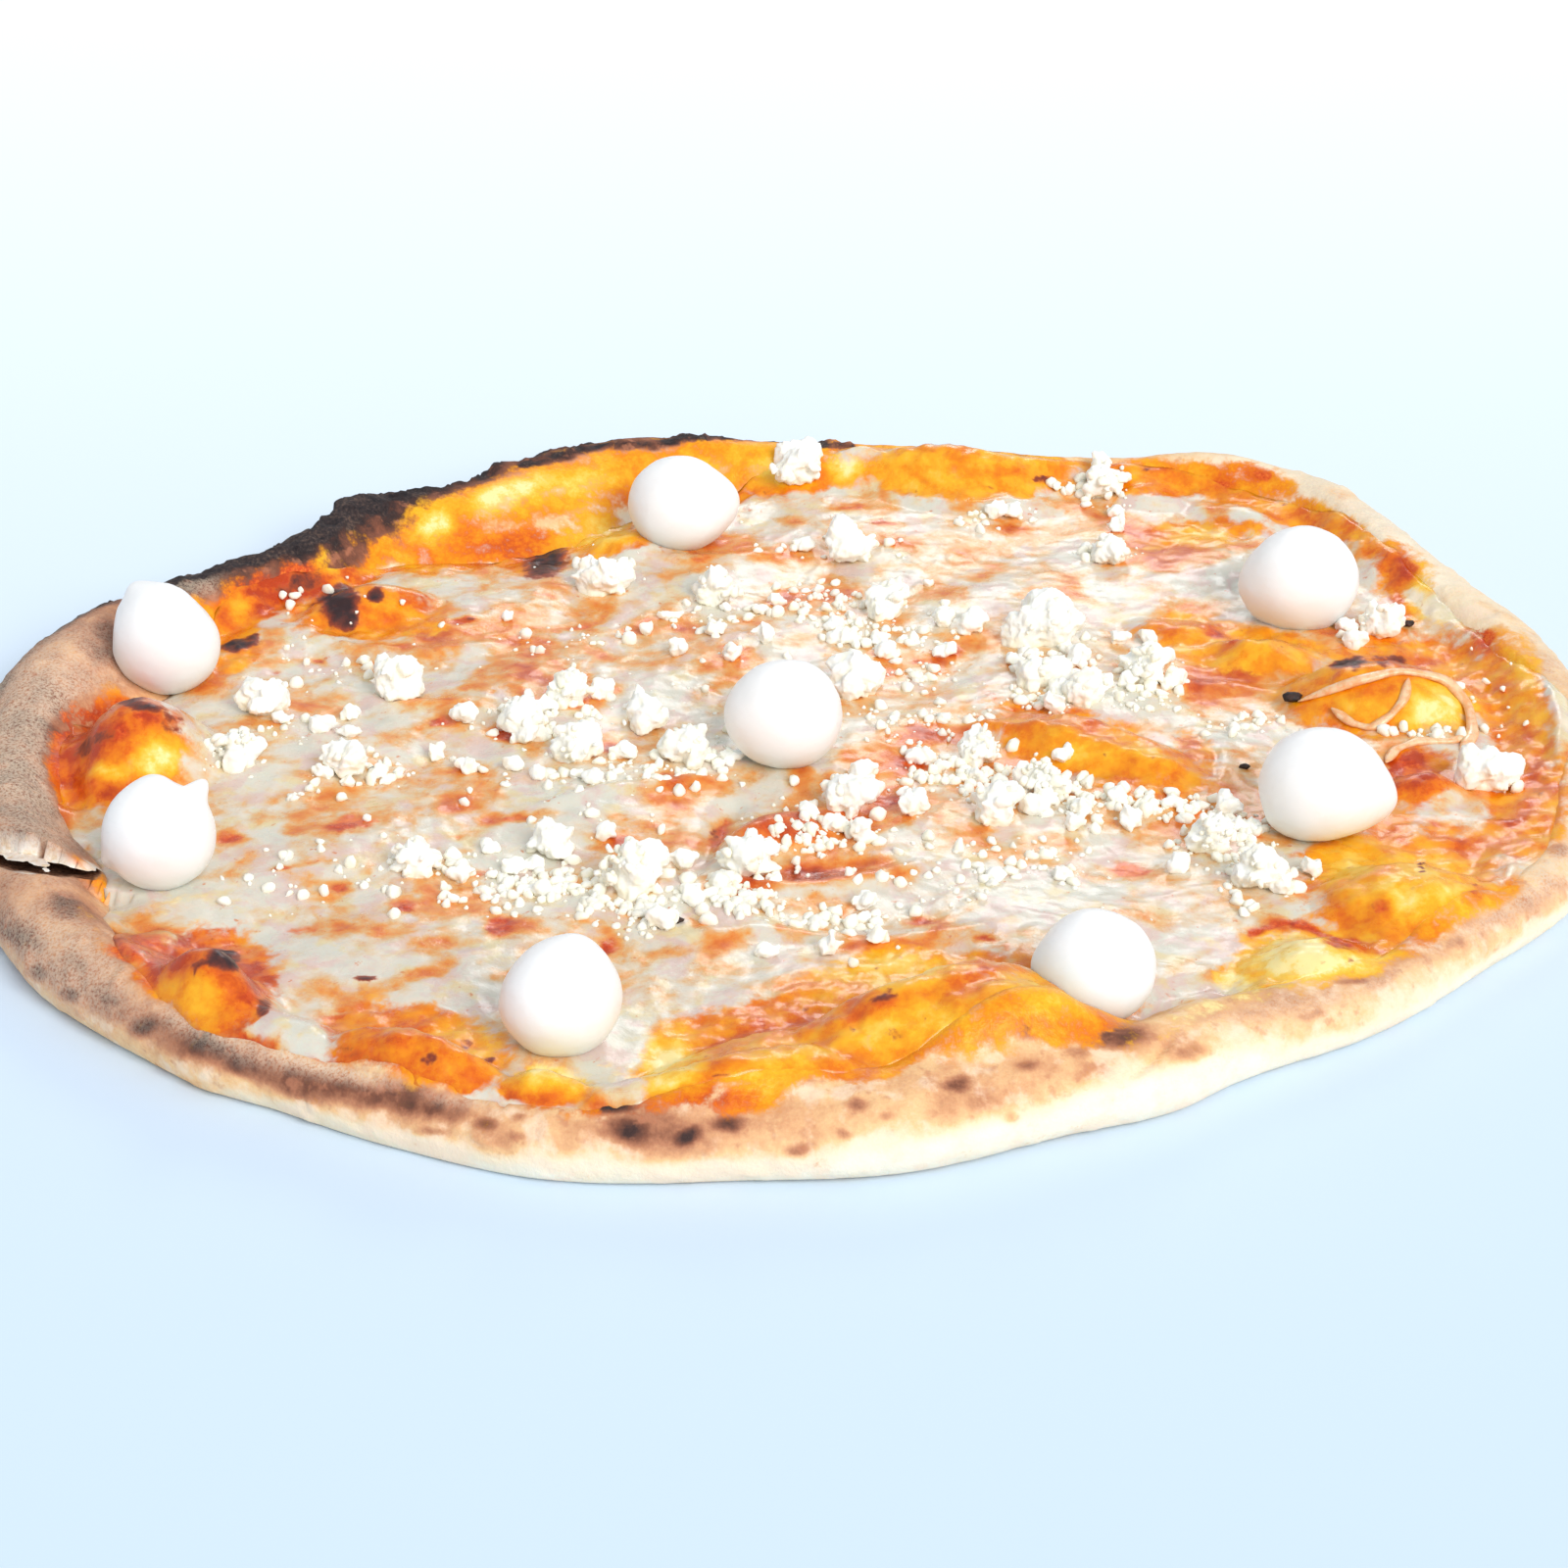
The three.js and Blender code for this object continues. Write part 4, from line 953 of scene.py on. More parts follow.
def cheese_material():
    s = Shader("melted_cheese")
    film = s.grain(14, 5, distortion=0.35, roughness=0.52)
    curds = s.grain(5.5, 4, distortion=0.4, roughness=0.55)
    blotch = s.grain(5, 4, roughness=0.55)
    fine = s.grain(1.2, 3, roughness=0.7)
    fibre = s.grain(2.2, 4, stretch=(1.5, 1.4, 1), roughness=0.62, distortion=0.3)
    oil, sauce = topping_colours(s, blotch, fine)

    through = film + s.swing(curds, -0.05, 0.05) + s.swing(fibre, -0.025, 0.025)
    through = through + s.between(s.field("thin"), -0.4, 1.4, -0.06, 0.24)
    through = (through + s.field("red") * 0.16).held()
    milk = s.ramp(
        through,
        (0.4, 216, 212, 197), (0.49, 222, 211, 194), (0.555, 222, 196, 162), (0.61, 226, 174, 114),
        (0.665, 229, 151, 71), (0.73, 222, 120, 42), (0.82, 198, 80, 26), (0.96, 136, 42, 20),
    )
    pale = s.between(through, 0.66, 0.52)
    rosy = s.between(s.grain(8, 4, roughness=0.6, distortion=0.4), 0.48, 0.62, 0, 0.6)
    milk = s.mix(rosy * pale, milk, colour(218, 182, 176))
    oily = s.between(s.grain(7, 4, roughness=0.6), 0.52, 0.66, 0, 0.6)
    milk = s.mix(oily * pale, milk, colour(226, 204, 142))
    thread = s.maths("ABSOLUTE", s.grain(5, 4, distortion=0.9) - 0.5)
    threads = s.between(thread, 0.02, 0.0, 0, 0.35) * s.between(through, 0.5, 0.62)
    milk = s.mix(threads, milk, colour(206, 120, 92))
    drops = s.between(s.grain(2.6, 3, roughness=0.6), 0.66, 0.73, 0, 0.7)
    milk = s.mix(drops, milk, colour(208, 112, 46))

    wobble = s.swing(curds, -0.26, 0.26) + s.between(fine, 0.25, 0.75, -0.08, 0.08)
    body = s.mix(edged(s, s.field("gold"), wobble, 0.25, 0.75), milk, oil)
    body = s.mix(edged(s, s.field("red"), wobble, 0.5, 1.0), body, sauce)
    rind = s.between(s.field("film") + wobble, 0.3, 0.8)
    dried = s.mix(s.between(curds, 0.35, 0.65), colour(228, 214, 168), colour(238, 222, 196))
    body = s.mix(rind, body, dried)
    burnt = s.field("char") + s.swing(blotch, -0.14, 0.14)
    burnt = (burnt + s.swing(fine, -0.08, 0.08)).held()
    scorch = s.ramp(
        burnt,
        (0.2, 204, 96, 26), (0.42, 150, 62, 28), (0.66, 92, 42, 34), (0.92, 50, 28, 30),
    )
    body = s.mix(s.between(burnt, 0.14, 0.46), body, scorch)
    s.set(Base_Color=body, Subsurface_Weight=0.25, Subsurface_Scale=0.002)
    s.set(Subsurface_Radius=(1.0, 0.7, 0.5))
    s.set(Roughness=s.between(blotch + s.field("dull"), 0.3, 1.2, 0.24, 0.6))
    s.set(Coat_Weight=0.15, Coat_Roughness=0.1, Specular_IOR_Level=0.32)
    s.bump(curds * 1.2 + fine * 0.35 + fibre * 0.7, 0.3, 0.5)
    return s.material


def mozzarella_material():
    s = Shader("fresh_mozzarella")
    patch = s.grain(9, 3)
    milk = s.mix(s.between(patch, 0.35, 0.7), colour(255, 254, 253), colour(253, 252, 250))
    # Painted light: a cool tint on each ball's lower part, set against the warm light bounced up from
    # the cheese.
    milk = s.mix(s.field("low"), milk, colour(232, 247, 255))
    s.set(Base_Color=milk, Subsurface_Weight=0.75, Subsurface_Scale=0.008)
    s.set(Subsurface_Radius=(1.0, 1.0, 1.0), Specular_IOR_Level=0.35)
    s.set(Roughness=s.swing(patch, 0.34, 0.46))
    s.bump(s.grain(1.2, 2) + s.grain(4, 3) * 2.0, 0.16, 0.4)
    return s.material


def curd_material():
    s = Shader("crumbled_cheese")
    patch = s.grain(2.4, 3)
    milk = s.mix(s.between(patch, 0.42, 0.68), colour(255, 255, 248), colour(255, 252, 234))
    # Creamier at the foot: partly oil soaked up from the cheese, partly painted shade on the lower
    # sides.
    milk = s.mix(s.field("low"), milk, colour(254, 242, 206))
    s.set(Base_Color=milk, Subsurface_Weight=0.3, Subsurface_Scale=0.0008, Roughness=0.6)
    s.set(Subsurface_Radius=(1.0, 0.96, 0.86), Specular_IOR_Level=0.3)
    s.bump(s.grain(0.5, 2) + s.grain(1.3, 3) * 1.6, 0.2, 0.3)
    return s.material


def string_material():
    s = Shader("cheese_string")
    streak = s.grain(1.5, 3)
    strand = s.mix(s.between(streak, 0.35, 0.65), colour(244, 206, 166), colour(234, 170, 116))
    s.set(Base_Color=strand, Subsurface_Weight=0.3, Subsurface_Scale=0.002)
    s.set(Roughness=s.swing(streak, 0.22, 0.4))
    s.bump(streak, 0.2, 0.2)
    return s.material


def speck_material():
    s = Shader("charred_speck")
    s.set(Base_Color=s.ramp(s.grain(0.8, 3), (0.35, 20, 16, 18), (0.7, 70, 44, 34)))
    s.set(Roughness=0.6)
    s.bump(s.grain(0.5, 3), 0.6, 0.3)
    return s.material


# ---------------------------------------------------------------- the dough
CRUST_AROUND = 1280
SLIT_DETAIL = 5
SLIT_MARGIN = 1.2  # how far round the slit its torn crumb is painted
SHARP_ANGLE = 60
CROWN_ROWS = 36
SIDE_ROWS = 11
UNDER_CHEESE = 7.0  # how far the finely meshed crust runs on below the cheese
HIDDEN_HEIGHT = 3.0  # where the dough's top is closed inside it, below the cheese
HIDDEN_SHARES = (0.985, 0.6, 0.2)
UNDERSIDE_SHARES = (0.985, 0.96, 0.92, 0.87, 0.8, 0.7, 0.58, 0.44, 0.28, 0.12)


def crust_rows():
    """Closed rows of points from under the cheese, over the rim, to the underside's middle."""
    bearing = np.arange(CRUST_AROUND) * 2 * np.pi / CRUST_AROUND
    c, s = np.cos(bearing), np.sin(bearing)
    edge, out = cheese_edge(bearing), outline(bearing)
    full = out - edge + UNDER_CHEESE
    rows = []
    for share in HIDDEN_SHARES[::-1]:
        r = (out - full) * share
        rows.append(np.stack([r * c, r * s, np.full_like(r, HIDDEN_HEIGHT)], 1))
    for row in range(CROWN_ROWS + 1):
        r = out - full * (1 - math.sin(row / CROWN_ROWS * math.pi / 2))
        rows.append(np.stack([r * c, r * s, dough_top(r * c, r * s)], 1))
    tuck = TUCK_SHARE * rim_at(bearing, CREST_INSET)
    widest = rim_profile(bearing, np.zeros_like(bearing))
    for row in range(1, SIDE_ROWS + 1):
        dip = row / SIDE_ROWS * math.pi / 2
        r = out - tuck * (1 - math.cos(dip))
        rows.append(np.stack([r * c, r * s, widest * (1 - math.sin(dip))], 1))
    for share in UNDERSIDE_SHARES:
        r = (out - tuck) * share
        rows.append(np.stack([r * c, r * s, np.zeros_like(r)], 1))
    return np.array(rows)


def row_normals(rows):
    along = np.roll(rows, -1, axis=1) - np.roll(rows, 1, axis=1)
    outward = np.gradient(rows, axis=0)
    normal = np.cross(outward, along)
    return normal / np.maximum(np.linalg.norm(normal, axis=2, keepdims=True), 1e-9)


BURNT_WIDTH = (  # bearing in degrees, and how far in from the outline the rim is burnt there
    (84, 0), (94, 5), (106, 7), (112, 9), (118, 9), (124, 11), (130, 15), (137, 17), (144, 15),
    (152, 14), (160, 9), (170, 4), (180, 2.5), (192, 0),
)


def baked_share(points, place, inset, height):
    """How far the crust is baked, from pale dough to brown, before its burnt spots."""
    edge = np.interp(place[0], *np.array(CRUST_EDGE, float).T)
    low = smooth((place[1] - edge + 9 * noise(points, 14, 41, 2)) / 34 + 0.5)
    plain_low = smooth((0.62 - height + 0.1 * noise(points, 18, 43, 2)) / 0.25)
    low = np.where(points[:, 1] < 40, np.maximum(low, 0.8 * plain_low), plain_low)
    left, right = smooth((-60 - points[:, 0]) / 70), smooth((points[:, 0] - 60) / 60)
    bake = 0.33 + 0.06 * noise(points, 14, 45, 2) + 0.17 * left - 0.05 * right
    bake -= 0.2 * smooth((points[:, 1] - 20) / 50) * right
    bake -= 0.04 * smooth((-70 - points[:, 1]) / 40) * (1 - left)
    bake += 0.05 * left * noise(points, 11, 59, 3)
    leopard = smooth((noise(points, 8, 47, 2) - 0.42) / 0.4) * smooth((inset + 2) / 6)
    bake += 0.1 * leopard * (1 - 0.6 * right)
    return bake * (1 - low * (0.9 - 0.4 * left))


def burnt_share(points, place, bearing, inset, height):
    """How dark the crust is burnt: in spots, in bands and along its ragged back edge."""
    dark = np.maximum(spots(place, CRUST_DARK, 0.8), bands(place, CRUST_BANDS, 0.8))
    dark *= 1 + 0.16 * noise(points, 3.4, 57, 2)
    width = np.interp(np.degrees(bearing) % 360, *np.array(BURNT_WIDTH, float).T)
    ragged = width * (1 + 0.16 * noise(points, 7, 49, 3)) - inset
    behind = smooth(width / 2) * (0.5 + 0.5 * smooth((height - 0.05) / 0.25))
    fringe = 0.66 * smooth((ragged + 5) / 6) + 0.34 * smooth((ragged - 1) / 5)
    return np.maximum(dark, behind * fringe)


def underside_share(points, inset):
    """1 on the underside, 0 on the sides and the top."""
    top = dough_top(points[:, 0], points[:, 1])
    low = smooth((2.2 - points[:, 2]) / 1.6) * smooth((inset - 2) / 3)
    return low * (points[:, 2] < 0.5 * top)


def crust_marks(points):
    """The crust's burnt, baked, stained and floury shares at points of the plan."""
    place = warped(points, *photo_place(points), CRUST_PUSH)
    r, bearing = np.hypot(points[:, 0], points[:, 1]), np.arctan2(points[:, 1], points[:, 0])
    inset = outline(bearing) - r
    height = points[:, 2] / np.maximum(rim_at(bearing, CREST), 1)
    dark = burnt_share(points, place, bearing, inset, height)
    bake = baked_share(points, place, inset, height)
    browned = bake * (1 - dark) + 0.92 * dark + 0.08 * dark * noise(points, 4, 51, 2)
    bake = np.maximum(bake, browned)
    near = smooth((15 - (r - cheese_edge(bearing))) / 7)
    inward = smooth((inset - 2.5) / 4)
    covered = 1 - 0.9 * spots(place, BARE, 0.8)
    stain = np.maximum(bands(place, STAIN_BANDS, 0.9), near * spots(place, GOLDEN, 0.4))
    stain *= inward * (1 - 0.85 * smooth((dark - 0.5) / 0.35))
    stain *= covered
    red = np.maximum(spots(place, RED, 0.6), bands(place, RED_BANDS, 0.8)) * near
    red *= inward
    red *= covered
    flour = spots(place, FLOUR, 0.8)
    flour *= (1 - 0.5 * dark) * (1 - smooth(stain * 2)) * (1 - smooth(red * 2))
    under = underside_share(points, inset)
    browner = 0.5 * smooth((noise(points, 10, 55, 3) - 0.3) / 0.3)
    bottom = 0.3 + 0.16 * noise(points, 22, 53, 3) + browner
    return dict(
        bake=bake * (1 - under) + under * bottom,
        char=(dark - 0.72) / 0.28,
        stain=stain * (1 - under),
        red=red * (1 - under),
        yellow=yellowness(points, place),
        flour=np.maximum(flour * (1 - under), 0.6 * under),
    )


def crust_relief(points, marks, inset):
    """How far the crust swells out or sinks in, in millimetres."""
    burnt = smooth(marks["char"] * 1.4)
    crags = burnt * (1.1 * ridges(points, 8, 61) + 0.4 * ridges(points, 2.8, 63) - 0.5)
    bubbles = 0.4 * smooth((noise(points, 6, 65, 2) - 0.3) / 0.4) * (1 - marks["stain"])
    swell = 0.45 * noise(points, 15, 67, 2) + 0.16 * noise(points, 5, 69, 2)
    fine = 0.07 * noise(points, 1.8, 71, 2)
    crease = bands(photo_place(points), CREASES, 0.9)
    relief = (crags + bubbles + swell + fine) * smooth((inset + 30) / 30) - 1.1 * crease
    bearing = np.arctan2(points[:, 1], points[:, 0])
    under = smooth((cheese_edge(bearing) + 0.5 - np.hypot(points[:, 0], points[:, 1])) / 2.5)
    return relief * (1 - under) - 0.5 * under


def slit_tool():
    """A ragged lens that opens the torn slit."""
    points, faces = icosphere(SLIT_DETAIL)
    body = points * np.array([SLIT["length"] / 2, SLIT["depth"], SLIT_OPEN * SLIT["height"] / 2])
    body += points * (0.35 * noise(body, 2.2, 81, 2) + 0.5 * noise(body, 6, 83, 2))[:, None]
    tip, turn = math.radians(SLIT["tip"]), math.radians(SLIT["turn"])
    y = body[:, 1] * math.cos(tip) - body[:, 2] * math.sin(tip)
    z = body[:, 1] * math.sin(tip) + body[:, 2] * math.cos(tip)
    x = body[:, 0] * math.cos(turn) - y * math.sin(turn)
    y = body[:, 0] * math.sin(turn) + y * math.cos(turn)
    return np.stack([x + SLIT["x"], y + SLIT["y"], z + SLIT["z"]], 1), faces


def slit_marks(points, steep):
    """The torn crumb and the painted shade deep in the slit: shares at points of the crust."""
    tip = math.radians(SLIT["tip"])
    along, across = slit_frame(points[:, 0], points[:, 1])
    z = points[:, 2] - SLIT["z"]
    back = across * math.cos(tip) + z * math.sin(tip)
    lift = z * math.cos(tip) - across * math.sin(tip)
    reach = np.hypot(along / (SLIT["length"] / 2 + SLIT_MARGIN), back / (SLIT["depth"] + SLIT_MARGIN))
    reach = np.hypot(reach, lift / (SLIT["height"] / 2 + SLIT_MARGIN))
    mouth = smooth((1.02 - reach) / 0.06)
    below = dough_top(points[:, 0], points[:, 1]) - points[:, 2]
    inside = mouth * smooth((below - 0.2) / 0.5)
    lip = mouth * (lift > 0) * (0.6 + 0.4 * steep)
    # deep: the painted shade, darkest furthest into the slit.
    deep = inside * smooth((back + 6.5 + 1.5 * noise(points, 4, 85, 2)) / 2.5)
    return np.maximum(inside, lip) * (1 - deep), deep


def crust_form():
    """The crust's closed mesh: its rows swollen by the relief, closed above and below."""
    rows = crust_rows()
    row_count, around = rows.shape[:2]
    normals = row_normals(rows).reshape(-1, 3)
    points = rows.reshape(-1, 3)
    bearing = np.arctan2(points[:, 1], points[:, 0])
    inset = outline(bearing) - np.hypot(points[:, 0], points[:, 1])
    relief = crust_relief(points, crust_marks(points), inset)
    relief[: len(HIDDEN_SHARES) * around] = 0
    level = points[:, 2].copy()
    points = points + normals * relief[:, None] * smooth(level / 3)[:, None]
    flat = level <= 0
    points[flat, 2] = 0.7 * np.clip(noise(points[flat], 13, 73, 3), 0, 1)
    i = np.arange(around)
    j = (i + 1) % around
    quads = []
    for row in range(row_count - 1):
        near, far = row * around, (row + 1) * around
        quads.append(np.stack([near + i, far + i, far + j, near + j], 1))
    top, under = len(points), len(points) + 1
    points = np.vstack([points, [[0, 0, HIDDEN_HEIGHT], [0, 0, 0]]])
    last = (row_count - 1) * around
    faces = np.vstack(quads).tolist()
    faces += np.stack([np.full(around, top), i, j], 1).tolist()
    faces += np.stack([np.full(around, under), last + j, last + i], 1).tolist()
    return points, faces


def build_crust(material):
    piece = make_piece("dough_crust", *crust_form(), material, "baked_dough", ["dough_base"])
    tool = make_piece("slit_tool", *slit_tool(), None, None)
    cut = piece.modifiers.new("slit", "BOOLEAN")
    cut.operation = "DIFFERENCE"
    cut.solver = "EXACT"
    cut.object = tool
    graph = bpy.context.evaluated_depsgraph_get()
    piece.data = bpy.data.meshes.new_from_object(piece.evaluated_get(graph))
    piece.modifiers.clear()
    bpy.data.objects.remove(tool)
    points = plan_points(piece.data)
    marks = crust_marks(points)
    facing = np.zeros(len(points) * 3)
    piece.data.vertices.foreach_get("normal", facing)
    steep = smooth((0.85 - facing[2::3]) / 0.35)
    marks["torn"], marks["slit_shade"] = slit_marks(points, steep)
    set_values(piece, **marks)
    piece.data.set_sharp_from_angle(angle=math.radians(SHARP_ANGLE))


# ---------------------------------------------------------------- the melted cheese
CHEESE_RINGS = 170
CHEESE_UNDER_SHARES = (0.985, 0.6, 0.2)
CHEESE_UNDERSIDE = 3.5


def disc(rings):
    """An even disc: unit radius shares and bearings of its points, and its triangles."""
    share, bearing = [np.zeros(1)], [np.zeros(1)]
    for ring in range(1, rings + 1):
        step = np.arange(6 * ring)
        share.append(np.full(6 * ring, ring / rings))
        bearing.append(2 * np.pi * step / (6 * ring))

    def first(ring):
        return 0 if ring == 0 else 1 + 3 * ring * (ring - 1)

    triangles = []
    for ring in range(1, rings + 1):
        sixth, step = np.divmod(np.arange(6 * ring), ring)
        inner_count = max(6 * (ring - 1), 1)
        outer = sixth * ring + step
        inner = (sixth * (ring - 1) + step) % inner_count
        corner = first(ring - 1) + inner
        following = first(ring) + (outer + 1) % (6 * ring)
        triangles.append(np.stack([corner, first(ring) + outer, following], 1))
        next_corner = first(ring - 1) + (inner + 1) % inner_count
        pair = np.stack([corner, following, next_corner], 1)
        triangles.append(pair[step < ring - 1])
    return np.concatenate(share), np.concatenate(bearing), np.vstack(triangles)


def cheese_marks(points):
    """How golden, yellow, red, burnt, thin and rind-like the melted cheese is."""
    place = warped(points, *photo_place(points), CHEESE_PUSH)
    bearing = np.arctan2(points[:, 1], points[:, 0])
    inside = cheese_edge(bearing) - np.hypot(points[:, 0], points[:, 1])
    rim_gold = smooth((9 - inside + 4 * noise(points, 9, 103, 2)) / 6)
    back = smooth((points[:, 1] - 20) / 50)
    gold = np.maximum(spots(place, GOLDEN, 0.45), back * rim_gold * 0.8)
    thin = 0.34 + 0.3 * noise(points, 26, 115, 2) + 0.16 * noise(points, 9, 117, 2)
    milky = spots(place, MILKY, 0.7)
    thin = np.maximum(thin * (1 - 0.85 * milky), spots(place, THIN, 0.7))
    thin = np.maximum(thin, 0.55 * smooth((4 - inside) / 4))
    red = np.maximum(spots(place, RED, 0.8), bands(place, RED_BANDS, 0.9))
    dots = smooth((noise(points, 4.2, 105, 2) - 0.62) / 0.2)
    red = np.maximum(red, 0.5 * dots * (1 - milky) * (1 - gold))
    char = spots(place, CHAR, 0.6)
    char *= 0.9 + 0.35 * noise(points, 2.6, 109, 2)
    domes = smooth((gold - 0.5) / 0.3) * smooth((noise(points, 3.4, 111, 2) - 0.55) / 0.3)
    char = np.maximum(char, 0.28 * domes)
    return dict(
        gold=gold, red=red, char=char, thin=thin, dull=0.6 * char,
        film=spots(place, BARE, 0.7), yellow=yellowness(points, place),
    )


def yellowness(points, place):
    """How far the oil and the browned cheese run to yellow, painted highlights on the back slope
    included, the same on crust and cheese.
    """
    share = 0.37 + 0.6 * spots(place, YELLOW, 0.7) - 0.22 * spots(place, DEEP, 0.7)
    return share + 0.1 * noise(points, 9, 113, 2)


def fold_rise(points):
    """Folds and furrows of the melted cheese along lines given in the photograph."""
    rise = np.zeros(len(points))
    shift = 0.9 * noise(points, 6, 135, 2)
    for path, half_width, height in FOLDS.values():
        fold_x, fold_y, _ = plan_place(*np.array(path, float).T)
        away = away_from_line(points[:, 0], points[:, 1], list(zip(fold_x, fold_y)))
        rise += height * np.exp(-(((away + shift) / half_width) ** 2))
    return rise


def cheese_relief(points, marks, inside):
    """The melted cheese's own swells, strands and thickness over its plain skin."""
    gold = smooth((marks["gold"] - 0.25) / 0.5)
    milk = (1 - gold) * (1 - 0.6 * np.clip(marks["red"], 0, 1))
    strands = ridges(points, 11, 121, 3) - 0.45
    skin = 0.45 * milk * (1 - 0.5 * np.clip(marks["thin"], 0, 1))
    skin += milk * (0.22 * strands + 0.12 * noise(points, 4, 123, 2))
    domes = gold * (0.6 * noise(points, 8, 125, 2) + 0.4 * noise(points, 3, 127, 2))
    crags = marks["char"] * (0.4 * ridges(points, 3, 129) + 0.2)
    pulp = marks["red"] * 0.3 * noise(points, 2.4, 131, 2)
    sharp, soft = smooth((inside + 0.4) / 2.6), smooth((inside + 0.4) / 10)
    melted_in = gold * 0.8 * (GAP + 0.85) * (sharp - soft)
    return (skin + domes + crags + pulp + fold_rise(points)) * smooth(inside / 3) - melted_in


def build_cheese(material):
    share, bearing, triangles = disc(CHEESE_RINGS)
    ring_points = np.stack([30 * np.cos(bearing), 30 * np.sin(bearing), np.zeros_like(bearing)], 1)
    edge = cheese_edge(bearing) + 1.3 * noise(ring_points, 1.9, 91, 2)
    r = share * edge
    x, y = r * np.cos(bearing), r * np.sin(bearing)
    plain = np.stack([x, y, dough_top(x, y) + cheese_lift(x, y, edge)], 1)
    marks = cheese_marks(plain)
    points = plain.copy()
    points[:, 2] += cheese_relief(plain, marks, edge - r)
    around = 6 * CHEESE_RINGS
    start = np.arange(len(points) - around, len(points))
    rim_r, rim_bearing = r[start], bearing[start]
    faces = triangles.tolist()
    for level in CHEESE_UNDER_SHARES:
        below_x, below_y = level * rim_r * np.cos(rim_bearing), level * rim_r * np.sin(rim_bearing)
        row = np.stack([below_x, below_y, np.full_like(below_x, CHEESE_UNDERSIDE)], 1)
        following = np.arange(len(points), len(points) + around)
        points = np.vstack([points, row])
        a, b = np.roll(start, -1), np.roll(following, -1)
        faces += np.stack([start, following, b, a], 1).tolist()
        start = following
    middle = len(points)
    points = np.vstack([points, [[0, 0, CHEESE_UNDERSIDE]]])
    faces += np.stack([start, np.full(around, middle), np.roll(start, -1)], 1).tolist()
    piece = make_piece(
        "melted_cheese_skin", points, faces, material, "melted_cheese", ["melted_cheese"])
    unseen = np.zeros(len(points) - len(plain))
    set_values(piece, **{name: np.concatenate([mark, unseen]) for name, mark in marks.items()})


# ---------------------------------------------------------------- the mozzarella balls
# Nubs and flats of each ball as the photograph shows its outline: angle round it in degrees
# from the right, height in mm, and how narrow it is.
BALL_NUBS = (
    ((10, 0.8, 12), (50, -0.8, 5), (-40, -0.6, 5)),
    ((125, 1.8, 30), (152, 0.6, 40), (45, -1.8, 4), (215, 0.5, 20), (195, 0.4, 40)),
    ((140, -1.2, 4), (190, 0.9, 14), (222, 0.5, 20), (300, 0.5, 20)),
    ((180, 0.4, 10), (60, 0.4, 6), (250, -0.4, 8)),
    ((-15, 1.6, 14), (218, 0.8, 16), (-70, -1.2, 4), (40, -0.6, 5), (130, 0.3, 8)),
    ((50, 3, 60), (66, -1, 60), (97, 1, 20), (207, 1, 60)),
    ((68, 0.9, 14), (135, -0.8, 4), (280, -0.3, 8)),
    ((170, 0.5, 20), (150, -0.5, 8), (20, 0.4, 8)),
)
BALL_DETAIL = 6
BALL_SEED = 200
BALL_SHADE = 14.0  # how far up from the cheese the painted cool tint at a ball's foot fades out


def build_balls(material):
    ball_points, ball_faces = icosphere(BALL_DETAIL)
    tilt = math.radians(CAMERA_TILT)
    for number, ((x, y, z, half_width, half_height), nubs) in enumerate(zip(BALLS, BALL_NUBS)):
        seed = BALL_SEED + 10 * number
        reach = 1 + 0.022 * noise(ball_points * 10, 9, seed, 2)
        reach = reach + 0.006 * noise(ball_points * 10, 2.6, seed + 5, 2)
        half = np.array([half_width, 0.96 * half_width, half_height])
        body = ball_points * reach[:, None] * half
        for angle, height, narrow in nubs:
            across, up = math.cos(math.radians(angle)), math.sin(math.radians(angle))
            aim = np.array([across, up * math.cos(tilt), up * math.sin(tilt)])
            body += ball_points * (height * np.exp(-narrow * (1 - ball_points @ aim)))[:, None]
        body += np.array([x, y, z])
        floor = surface_top(body[:, 0], body[:, 1])
        piece = make_piece(
            f"fresh_ball_{number + 1}", body, ball_faces, material,
            "fresh_mozzarella", [f"mozzarella_ball_{number + 1}"])
        # low: the share of the painted cool tint, strongest at the ball's foot.
        set_values(piece, low=smooth((floor + BALL_SHADE - body[:, 2]) / BALL_SHADE))


# ---------------------------------------------------------------- crumbled cheese
def chunk(rng, points):
    """A crumb of cheese: a ball about 1 in radius with flat broken faces."""
    cuts = rng.normal(size=(9, 3))
    cuts /= np.linalg.norm(cuts, axis=1, keepdims=True)
    facing = np.maximum(points @ cuts.T, 0.05)
    reach = np.minimum((rng.uniform(0.5, 0.95, 9) / facing).min(axis=1), 1.15)
    return points * reach[:, None]


def clump(rng, width, height, grains, grain_share):
    """A broken lump: a few large chunks with smaller grains sticking out all round."""
    half = np.array([width / 2, width / 2 * rng.uniform(0.72, 0.98), height / 2])
    parts = [(chunk(rng, GRAIN_POINTS) * half * 0.86, GRAIN_FACES)]
    for number in range(grains):
        aim = rng.normal(size=3)
        aim /= np.linalg.norm(aim)
        share = rng.uniform(0.2, 0.36) if number < 5 else rng.uniform(*grain_share)
        radius = width * share
        middle = aim * np.maximum(half - 0.7 * radius, 0) * rng.uniform(0.8, 1.15)
        shape = rng.uniform(0.5, 1.45, 3)
        parts.append((chunk(rng, GRAIN_POINTS) * radius * shape + middle, GRAIN_FACES))
    return gathered(parts)


def jostle(points, size, amount):
    """A small push every way, that breaks round crumbs up."""
    return amount * np.stack([noise(points, size, seed, 2) for seed in (321, 323, 325)], 1)


LUMP_SEED = 4000
LUMP_VOXEL = 0.42
LUMP_SINK = 0.3
LUMP_LOW = 0.5  # how creamy a lump's foot is: oil soaked up, and painted shade


def ground_at(x, y):
    return surface_top(np.array([x]), np.array([y]))[0]


